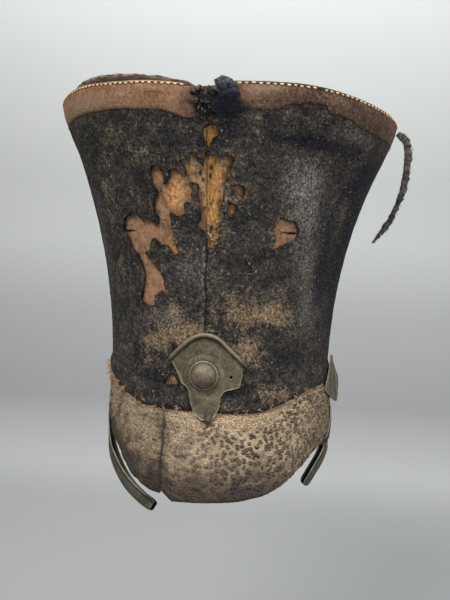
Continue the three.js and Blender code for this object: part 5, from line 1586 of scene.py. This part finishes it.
def make_button():
    """The domed button in its beaded ring."""
    radius_out = BUTTON_RADIUS + 0.5
    ring_width = radius_out * 0.075
    dome = radius_out - 1.7 * ring_width
    profile = [(0, 0), (radius_out - 0.2, 0), (radius_out, 0.25)]
    profile += [(radius_out - ring_width + ring_width * math.cos(a), ring_width + ring_width * math.sin(a))
                for a in np.linspace(-0.6, math.pi, 9)]
    profile += [(dome - 0.15, 0.75)]
    profile += [((dome - 0.1) * math.cos(a), 0.8 + (BUTTON_HEIGHT - 0.8) * math.sin(a))
                for a in np.linspace(0.05, 1.52, 22)]
    profile += [(0, BUTTON_HEIGHT)]
    around = 96
    angles = np.linspace(0, 2 * math.pi, around, endpoint=False)
    seat = plate_point(0, 0, PLATE_WALL + GAP)
    points, rub, painted_shade = [], [], []
    for radius, height in profile[1:-1]:
        ring = radius * circle(around)
        beads = 0.16 * np.cos(angles * 24) * bump_at(radius - radius_out + ring_width, 0.5)
        dents = 0.14 * rough(ring, 4.0, 111) * (height > 1.5)
        points.append(np.stack([ring[:, 0], -(height + beads + dents), ring[:, 1]], -1) + seat)
        on_ring = float(bump_at(radius - radius_out + ring_width, 0.4))
        rub.append(np.full(around, 0.35 * on_ring) + 0.3 * np.clip(beads / 0.16, 0, 1))
        # Painted shade where the dome meets its ring
        painted_shade.append(np.full(around, 0.6 * float(bump_at(radius - dome + 0.1, 0.25)) * (height < 1.3)))
    points = np.concatenate(points + [[seat, seat - np.array([0, BUTTON_HEIGHT, 0])]])
    rub = np.concatenate(rub + [[0, 0]])
    painted_shade = np.concatenate(painted_shade + [[0, 0]])
    rings = len(profile) - 2
    faces = [[b, a, d, c] for a, b, c, d in ring_faces(rings, around)]
    bottom, top = len(points) - 2, len(points) - 1
    last = (rings - 1) * around
    faces += [[bottom, i, (i + 1) % around] for i in range(around)]
    faces += [[top, last + (i + 1) % around, last + i] for i in range(around)]
    new_piece("button_skin", points, faces, "button", ["front_button"],
              {"rub": np.clip(rub, 0, 1), "painted_shade": np.clip(painted_shade, 0, 1)}, sharp_degrees=75)


def make_side_plate():
    seat = ON_ROOT_FELT + GAP

    def at(reach, up, out):
        front, rear, lift = (table_at(SIDE_PLATE_ROWS, k, up) for k in (1, 2, 3))
        along = front + (rear - front) * reach
        level = share(SIDE_PLATE_CENTRE_HEIGHT + SIDE_PLATE_HEIGHT * up)
        turn = SIDE_PLATE_TURN + np.degrees(along * SIDE_PLATE_WIDTH / BASE_LENGTH)
        stand_off = SIDE_PLATE_LIFT * lift * (1 + along) / 2
        return body_point(turn, level, seat + stand_off + out)

    def outer(reach, up):
        rim = 0.5 * bump_at(reach - 0.72, 0.08) - 0.35 * bump_at(reach - 0.6, 0.06)
        vein = 0.35 * bump_at(reach - 0.3, 0.08)
        dents = 0.12 * rough(np.stack([reach * 20, up * 36], -1), 5.0, 121)
        return at(reach, up, PLATE_WALL + rim + vein + dents)

    columns = np.linspace(0, 1, 44)
    rows = uneven([(SIDE_PLATE_ROWS[0][0], SIDE_PLATE_ROWS[-1][0], 0.014)])
    points, faces, reach, up = thick_sheet(columns, rows, everywhere, outer, lambda r, u: at(r, u, 0.0))
    rub = 0.55 * (np.exp(-reach / 0.05) + bump_at(reach - 0.72, 0.06))
    rub = rub * (0.6 + 0.4 * noise(points, 4.0, 122))
    # Painted shade in the groove beside the raised rim
    painted_shade = 0.5 * bump_at(reach - 0.6, 0.05)
    new_piece("side_plate_skin", points, faces, "plate", ["side_plate"],
              {"rub": np.clip(rub, 0, 1), "painted_shade": painted_shade}, sharp_degrees=60)


# How many loose threads grow on each thing
STRIP_HAIRS = 150
TANGLE_LOOPS = 60
TANGLE_THREADS = 150
WOOL_FIBRES = 700


def make_torn_strip():
    half = TORN_STRIP_WIDTH * 0.62
    seat = GAP + BAND_WALL + BAND_CROWNING + TORN_STRIP_WALL
    top = band_low(TORN_STRIP_TURN) + share(BAND_HEIGHT * 0.75)
    start = body_point(TORN_STRIP_TURN, top, seat)
    angle = math.radians(TORN_STRIP_TURN)
    outward = np.array([math.sin(angle), -math.cos(angle), 0])
    round_way = np.array([math.cos(angle), math.sin(angle), 0])
    knots = [start + outward * out * TORN_STRIP_LENGTH - np.array([0, 0, down * TORN_STRIP_LENGTH])
             for out, down, _ in TORN_STRIP_RUN]
    path, along = curve_through(knots, 150)
    over = np.broadcast_to(round_way, path.shape)
    across = unit(np.cross(along, over))
    places = np.linspace(0, 1, len(TORN_STRIP_RUN))
    width = np.interp(np.linspace(0, 1, len(path)), places, [row[2] for row in TORN_STRIP_RUN])
    t = np.arange(len(path), dtype=float)
    left = half * width * (0.96 + 0.2 * rough(np.stack([t, 0 * t], -1), 5.0, 131))
    right = half * width * (0.9 + 0.42 * rough(np.stack([t, 0 * t + 9], -1), 3.0, 132))
    thin = TORN_STRIP_WALL / 2
    rows = []
    for k in range(len(path)):
        a, b = left[k], right[k]
        rows.append([
            [-a, -thin * 0.3], [-a * 0.8, -thin], [0, -thin * 0.8], [b * 0.8, -thin], [b, -thin * 0.3],
            [b, thin * 0.3], [b * 0.8, thin], [0, thin * 0.75], [-a * 0.8, thin], [-a, thin * 0.3]])
    points, faces = swept(path, across, over, np.array(rows))
    points = points + 0.18 * np.stack([rough(points, 2.5, 133 + k) for k in range(3)], -1)
    new_piece("torn_strip_skin", points, faces, "strip", ["torn_strip"])
    rng = np.random.default_rng(12)
    hairs = []
    for _ in range(STRIP_HAIRS):
        k = rng.integers(4, len(path) - 1)
        side = -1 if rng.random() < 0.3 else 1
        edge = path[k] + across[k] * side * half * width[k] * 0.8
        way = unit(across[k] * side + along[k] * rng.normal(0, 0.8) + over[k] * rng.normal(0, 0.5))
        length = rng.uniform(0.6, 2.0)
        bend = rng.normal(0, 0.5, 3)
        hairs.append([edge + way * length * s + bend * length * s * s * 0.4 for s in np.linspace(0, 1, 4)])
    points, faces = strand_mesh(hairs, rng.uniform(0.08, 0.2, len(hairs)))
    new_piece("torn_strip_hairs", points, faces, "strip")


def tube_along(knots, radius, steps, sides, taper):
    path, along = curve_through(knots, steps)
    across, over = square_to(along)
    fat = radius * np.linspace(1, taper, steps + 1)
    return swept(path, across, over, fat[:, None, None] * circle(sides))


# Leather shreds in the tear: turn, share of the height, stand-off, length, width, heading in degrees, curl
TEAR_SHREDS = [
    (-3.4, 0.9755, 1.9, 4.2, 2.6, 50, 0.5), (-2.6, 0.985, 1.9, 3.2, 2.2, 85, 0.9),
    (-1.8, 0.99, 1.8, 2.2, 1.4, 70, 0.9), (1.9, 0.978, 1.9, 4.0, 2.4, -35, 0.5),
    (1.2, 0.983, 1.9, 3.0, 1.8, 60, 0.8), (-0.7, 0.974, 0.8, 3.4, 1.6, 5, 0.8),
    (-0.6, 0.968, 2.2, 3.0, 1.2, 60, 1.9), (0.9, 0.969, 2.2, 2.4, 0.9, 250, 2.4),
    (-2.6, 0.956, 2.2, 5.2, 0.9, 130, 2.6), (-1.9, 0.95, 2.3, 4.4, 0.8, 235, 2.8),
    (-0.4, 0.952, 2.2, 4.6, 0.7, 150, 3.0), (0.4, 0.946, 2.2, 4.2, 0.8, 110, 2.5),
    (1.6, 0.936, 2.6, 2.4, 1.7, 10, 3.2), (-1.6, 0.932, 2.2, 5.6, 0.8, 195, 2.4),
    (-0.6, 0.925, 2.1, 4.6, 0.6, 160, 2.8), (-1.6, 0.902, 2.6, 3.4, 0.7, 200, 4.0),
    (-0.8, 0.897, 2.6, 3.2, 0.6, 20, 3.8), (0.6, 0.903, 2.4, 2.8, 0.6, 150, 3.4),
    (-2.4, 0.938, 2.2, 4.0, 0.8, 175, 1.8), (0.3, 0.934, 2.2, 3.6, 0.8, 215, 2.6),
    (-3.0, 0.945, 2.4, 3.2, 1.2, 20, 2.2),
]


def make_tear():
    """What fills the tear of the rim: curled leather shreds and a small black tangle."""
    rng = np.random.default_rng(7)
    parts = []
    for turn, up, out, length, wide, heading, curl in TEAR_SHREDS:
        start = body_point(turn, up, ON_STRIP + out)
        outward = facing(turn, up)
        right = unit(np.cross([0.0, 0.0, 1.0], outward)) * -1
        angle = math.radians(heading)
        ahead = math.cos(angle) * np.array([0.0, 0.0, 1.0]) + math.sin(angle) * right
        knots = [
            start + length * (ahead * math.sin(curl * b) + outward * (1 - math.cos(curl * b)))
            / max(curl, 0.5)
            for b in np.linspace(0, 1, 6)]
        path, along = curve_through(knots, 12)
        across = unit(np.cross(along, np.broadcast_to(outward, along.shape) + 0.2 * ahead))
        over = np.cross(across, along)
        t = np.linspace(0, 1, len(path))
        half = 0.5 * wide * (1 - 0.75 * t) * (1 + 0.35 * noise(path, 0.9, 143))
        ring = np.array([[-1, -0.1], [-0.5, -0.45], [0.5, -0.45], [1, -0.1], [0.6, 0.35], [-0.6, 0.35]])
        section = ring[None] * np.stack([half, 0.32 + 0.12 * half], -1)[:, None]
        parts.append(swept(path, across, over, section))
    points, faces = joined(parts)
    new_piece("tear_shreds", points, faces, "shred")
    tangle = []
    for _ in range(TANGLE_LOOPS):
        turn, up = rng.normal(-1.0, 1.5), rng.uniform(0.895, 0.962)
        start = body_point(turn, up, ON_STRIP + rng.uniform(0.6, 2.2))
        way = unit(rng.normal(0, 1, 3) + np.array([0, -0.3, 0]))
        other = unit(np.cross(way, rng.normal(0, 1, 3)))
        size = rng.uniform(0.4, 1.2)
        spin = rng.uniform(1.5, 5.0)
        knots = [start + size * (way * math.sin(a) + other * (1 - math.cos(a)))
                 for a in np.linspace(0, spin, 6)]
        tangle.append(tube_along(knots, rng.uniform(0.18, 0.4), 12, 6, 0.5))
    for _ in range(TANGLE_THREADS):
        turn, up = rng.normal(-0.8, 2.0), rng.uniform(0.893, 0.978)
        start = body_point(turn, up, ON_STRIP + rng.uniform(0.2, 1.8))
        way = unit(rng.normal(0, 1, 3) + np.array([0, -0.3, -0.5]))
        bend = rng.normal(0, 1.0, 3)
        length = rng.uniform(1.0, 3.2)
        knots = [start + way * b * length + bend * b * b for b in np.linspace(0, 1, 4)]
        tangle.append(tube_along(knots, rng.uniform(0.1, 0.26), 8, 5, 0.3))
    points, faces = joined(tangle)
    new_piece("tear_tangle", points, faces, "black")


def make_tear_backing():
    """Dark felt pad seen behind the tear."""
    columns = np.linspace(-6.0, 4.6, 60)
    rows = np.linspace(0.89, 0.985, 48)

    def field(turn, up):
        wide = 1 - ((turn + 1) / 4.4) ** 2 - ((up - 0.943) / 0.046) ** 2
        return wide * 4 + 0.8 * rough(flat(turn, up), 2.5, 141)

    def outer(turn, up):
        below = 1.3 * (1 - smoothstep(up, 0.945, 0.96)) * bump_at(turn + 1.2, 2.6)
        return body_point(turn, up, GAP + STRIP_WALL + 0.5 + below + 0.6 * rough(flat(turn, up), 2.0, 142))

    def inner(turn, up):
        return body_point(turn, up, GAP * 0.3)

    points, faces, _, _ = thick_sheet(columns, rows, field, outer, inner)
    new_piece("tear_backing", points, faces, "black")


def make_wool():
    """The tuft of blue wool: a lumpy pad and loose fibres all over it."""
    seat = ON_STRIP + BAND_WALL + BAND_CROWNING + 0.1
    turns = [c[0] for c in WOOL_OUTLINE]
    ups = [c[1] for c in WOOL_OUTLINE]
    columns = np.linspace(min(turns) - 0.8, max(turns) + 0.8, 64)
    rows = np.linspace(min(ups) - 0.008, max(ups) + 0.008, 90)

    def away(turn, up):
        return -outside_distance(turn, up, WOOL_OUTLINE)

    def field(turn, up):
        return away(turn, up) + 0.35 + 0.6 * rough(flat(turn, up), 2.2, 151)

    def outer(turn, up):
        p = flat(turn, up)
        thick = 0.45 + 0.55 * smoothstep(up, 0.93, 0.975)
        dome = thick * WOOL_THICKNESS * (0.35 + 0.75 * smoothstep(away(turn, up), -0.6, 2.4))
        return body_point(turn, up, seat + dome + 0.55 * rough(p, 2.4, 152) + 0.22 * noise(p, 0.8, 153))

    def inner(turn, up):
        return body_point(turn, up, seat)

    points, faces, turn, up = thick_sheet(columns, rows, field, outer, inner)
    # The high mask is painted light: the top lit slate grey, the rest left nearly black as shade
    high = smoothstep(up + 0.012 * noise(flat(turn, up), 3.0, 154), 0.955, 0.995)
    new_piece("wool_tuft", points, faces, "wool", ["wool_remnant"], {"high": high})
    rng = np.random.default_rng(9)
    hairs = []
    while len(hairs) < WOOL_FIBRES:
        turn, up = rng.uniform(min(turns), max(turns)), rng.uniform(min(ups), max(ups))
        if away(np.array(turn), np.array(up)) < -0.4:
            continue
        start = body_point(turn, up, seat + rng.uniform(0.6, 1.7))
        way = unit(np.array([rng.normal(0, 0.8), -0.35, rng.normal(-0.5, 0.9)]))
        bend = rng.normal(0, 0.7, 3)
        length = rng.uniform(0.8, 2.4)
        hairs.append([start + way * length * s + bend * s * s for s in np.linspace(0, 1, 5)])
    points, faces = strand_mesh(hairs, rng.uniform(0.06, 0.13, len(hairs)))
    # Painted light on the fibres too, lit toward the top
    high = smoothstep(points[:, 2], 188, 195)
    new_piece("wool_fibres", points, faces, "wool", masks={"high": high})


# Tufts of orange thread along the junction of felt and peak: turn, up, how many, length, reach in degrees
ORANGE_TUFTS = [
    (-23, 0.004, 7, 3.0, 0.8), (-18.5, 0.006, 6, 2.4, 0.7), (-11.5, 0.006, 8, 3.2, 1.0),
    (-3.4, 0.004, 8, 3.0, 0.8), (8.2, 0.0, 4, 2.0, 1.0), (14.5, 0.0, 5, 2.4, 1.2),
    (19.0, 0.002, 7, 2.6, 1.4), (25.5, 0.002, 5, 2.4, 0.9), (31.0, 0.01, 5, 2.2, 0.9),
    (38.0, 0.022, 4, 2.0, 0.8), (-30, 0.012, 5, 3.0, 1.0), (-35, 0.02, 5, 3.0, 1.2),
    (-45, 0.034, 16, 4.5, 2.0), (-52, 0.042, 22, 5.0, 2.6), (-60, 0.05, 26, 5.5, 3.0),
    (-69, 0.055, 34, 6.0, 3.6), (-78, 0.062, 44, 6.5, 4.0), (-84, 0.07, 40, 6.0, 3.6),
    (44, 0.034, 6, 2.4, 1.2), (51, 0.046, 6, 2.4, 1.2),
]


def make_orange_threads():
    rng = np.random.default_rng(3)
    seat = ON_ROOT_FELT
    hairs, radii = [], []
    for turn, up, count, length, reach in ORANGE_TUFTS:
        for _ in range(count):
            at = turn + rng.normal(0, reach * 0.5)
            start = body_point(at, up + share(rng.normal(0.5, 0.7)), seat - 0.4)
            outward = facing(at, up)
            sideways = unit(np.cross(outward, [0, 0, 1]))
            way = outward * rng.uniform(0.1, 0.7) + sideways * rng.normal(0, 0.7)
            way = unit(way + np.array([0, 0, rng.normal(-0.3, 0.8)]))
            bend = rng.normal(0, 0.8, 3) + np.array([0, 0, -0.8])
            size = length * rng.uniform(0.45, 1.0)
            hairs.append([start + way * size * s + bend * s * s * size * 0.3 for s in np.linspace(0, 1, 6)])
            radii.append(rng.uniform(0.12, 0.3))
    points, faces = strand_mesh(hairs, np.array(radii), sides=5)
    new_piece("hem_threads", points, faces, "orange")


def make_felt_fibres():
    """Short fibres along the edges of the holes and the felt's two raw edges."""
    rng = np.random.default_rng(17)
    hairs, radii = [], []

    def grow(turn, up, out, toward, count, length):
        for _ in range(count):
            at = turn + rng.normal(0, 0.25)
            root_up = up + share(rng.normal(0, 0.4))
            start = body_point(at, root_up, out + rng.uniform(-0.7, 0.1))
            outward = facing(turn, up)
            way = unit(toward + 0.5 * outward * rng.random() + rng.normal(0, 0.6, 3))
            size = length * rng.uniform(0.3, 1.0)
            bend = rng.normal(0, 0.5, 3)
            hairs.append([start + way * size * s + bend * s * s * size for s in np.linspace(0, 1, 4)])
            radii.append(rng.uniform(0.05, 0.11))

    for outline in FELT_HOLES.values():
        ring = np.array(outline, float)
        centre = ring.mean(axis=0)
        for a, b in zip(ring, np.roll(ring, -1, axis=0)):
            length = np.hypot((b[0] - a[0]) * MM_PER_DEGREE, (b[1] - a[1]) * BODY_HEIGHT)
            for s in np.arange(0.5, length, 0.9) / length:
                turn, up = a + (b - a) * s
                out = cloth_stand_off(turn, up) + CLOTH_WALL
                toward = body_point(centre[0], centre[1], out) - body_point(turn, up, out)
                grow(turn, up, out, unit(toward) * 0.7, 2, 1.3)
    for turn in np.arange(-180, 180, 0.7):
        up = band_low(turn) - share(GAP)
        grow(turn, up, cloth_stand_off(turn, up) + CLOTH_WALL, np.array([0, 0, 0.8]), 2, 1.2)
        up = cloth_low(turn)
        grow(turn, up, cloth_stand_off(turn, up) + CLOTH_WALL, np.array([0, 0, -0.8]), 1, 1.2)
    points, faces = strand_mesh(hairs, np.array(radii), sides=3)
    new_piece("felt_fibres", points, faces, "black")


make_shell()
cover = make_cover()
make_seam_strip()
make_band()
make_stitches()
make_crown()
make_peak()
make_binding("binding_left_skin", "peak_binding_left", LEFT_BINDING)
make_binding("binding_right_skin", "peak_binding_right", RIGHT_BINDING)
make_front_plate()
make_button()
make_side_plate()
make_torn_strip()
make_tear_backing()
make_tear()
make_wool()
make_orange_threads()
make_felt_fibres()


# The camera: its lens and place in millimetres, the way it looks, and its roll in radians
CAMERA_LENS = 39
CAMERA_PLACE = (53.1, -493.6, 110.6)
CAMERA_FORWARD = (-0.102, 0.990, -0.098)
CAMERA_ROLL = 0.023


def make_camera():
    """Camera at the photograph's viewing angle."""
    data = bpy.data.cameras.new("camera")
    data.sensor_width = 36
    data.lens = CAMERA_LENS
    camera = bpy.data.objects.new("camera", data)
    camera.rotation_mode = "QUATERNION"
    upright = Vector(CAMERA_FORWARD).normalized().to_track_quat("-Z", "Y").to_matrix()
    roll = Matrix.Rotation(CAMERA_ROLL, 3, "Z")
    camera.rotation_quaternion = (upright @ roll).to_quaternion()
    camera.location = Vector(CAMERA_PLACE) * MM
    bpy.context.scene.collection.objects.link(camera)
    bpy.context.scene.camera = camera


# Painted light on the backdrop: how bright its colour is at each height in metres, brighter upward, with a
# pale band just above the floor
BACKDROP_PAINTED_LIGHT = [
    (-0.42, 0.27), (-0.415, 0.285), (-0.4, 0.32), (-0.3, 0.215), (-0.1, 0.27), (0.1, 0.385), (0.4, 0.43),
    (0.75, 0.45),
]


def make_stage():
    """Pale floor that curves up into a backdrop, in metres, with painted light that brightens and darkens it
    by height.
    """
    floor_z, wall_y, radius, reach = -0.42, 1.4, 0.7, 3.5
    line = [(-6.0, floor_z)] + [(y, floor_z) for y in np.linspace(-1.0, wall_y - radius, 12)]
    for k in range(1, 25):
        a = math.pi / 2 * k / 24
        line.append((wall_y - radius + radius * math.sin(a), floor_z + radius * (1 - math.cos(a))))
    line += [(wall_y, z) for z in np.linspace(0.35, 1.25, 10)] + [(wall_y, 3.0)]
    points = [(x, y, z) for y, z in line for x in (-reach, reach)]
    faces = [(2 * k, 2 * k + 1, 2 * k + 3, 2 * k + 2) for k in range(len(line) - 1)]
    mesh = bpy.data.meshes.new("floor")
    mesh.from_pydata(points, [], faces)
    mesh.shade_smooth()
    heights = [z for _, z in line]
    painted_light = np.interp(heights, [h for h, _ in BACKDROP_PAINTED_LIGHT], [b for _, b in BACKDROP_PAINTED_LIGHT])
    layer = mesh.attributes.new("painted_light", "FLOAT", "POINT")
    layer.data.foreach_set("value", np.repeat(painted_light, 2).astype(np.float32))
    t = Tree("pale_floor", specular=0.1)
    t.colour = t.mix(t.mask("painted_light"), (0.0, 0.0, 0.0), (0.965, 1.0, 0.995))
    mesh.materials.append(t.finish(0.95))
    floor = bpy.data.objects.new("floor", mesh)
    bpy.context.scene.collection.objects.link(floor)


def area_light(name, place, target, size, power, colour=(1, 1, 1)):
    data = bpy.data.lights.new(name, "AREA")
    data.shape = "RECTANGLE"
    data.size, data.size_y = size
    data.energy = power
    data.color = colour
    light = bpy.data.objects.new(name, data)
    light.location = place
    light.rotation_mode = "QUATERNION"
    light.rotation_quaternion = (Vector(target) - Vector(place)).to_track_quat("-Z", "Y")
    bpy.context.scene.collection.objects.link(light)


def make_lights():
    """Soft studio light."""
    world = bpy.data.worlds.new("studio")
    world.use_nodes = True
    background = world.node_tree.nodes["Background"]
    background.inputs["Color"].default_value = (0.86, 0.88, 0.9, 1)
    background.inputs["Strength"].default_value = 0.34
    bpy.context.scene.world = world
    bpy.context.scene.view_settings.view_transform = "Standard"
    area_light("key", (-0.45, -0.95, 1.25), (0, 0, 0.06), (0.6, 0.4), 28, (1, 0.985, 0.95))
    area_light("fill", (1.1, -0.9, 0.55), (0, 0, 0.08), (0.8, 0.8), 15, (0.98, 0.98, 1))
    area_light("top", (0.15, -0.35, 1.5), (0, 0, 0.1), (0.7, 0.7), 19)
    area_light("wash", (0, 0.9, 1.45), (0, 1.4, 0.5), (2.6, 0.4), 24)


make_camera()
make_stage()
make_lights()
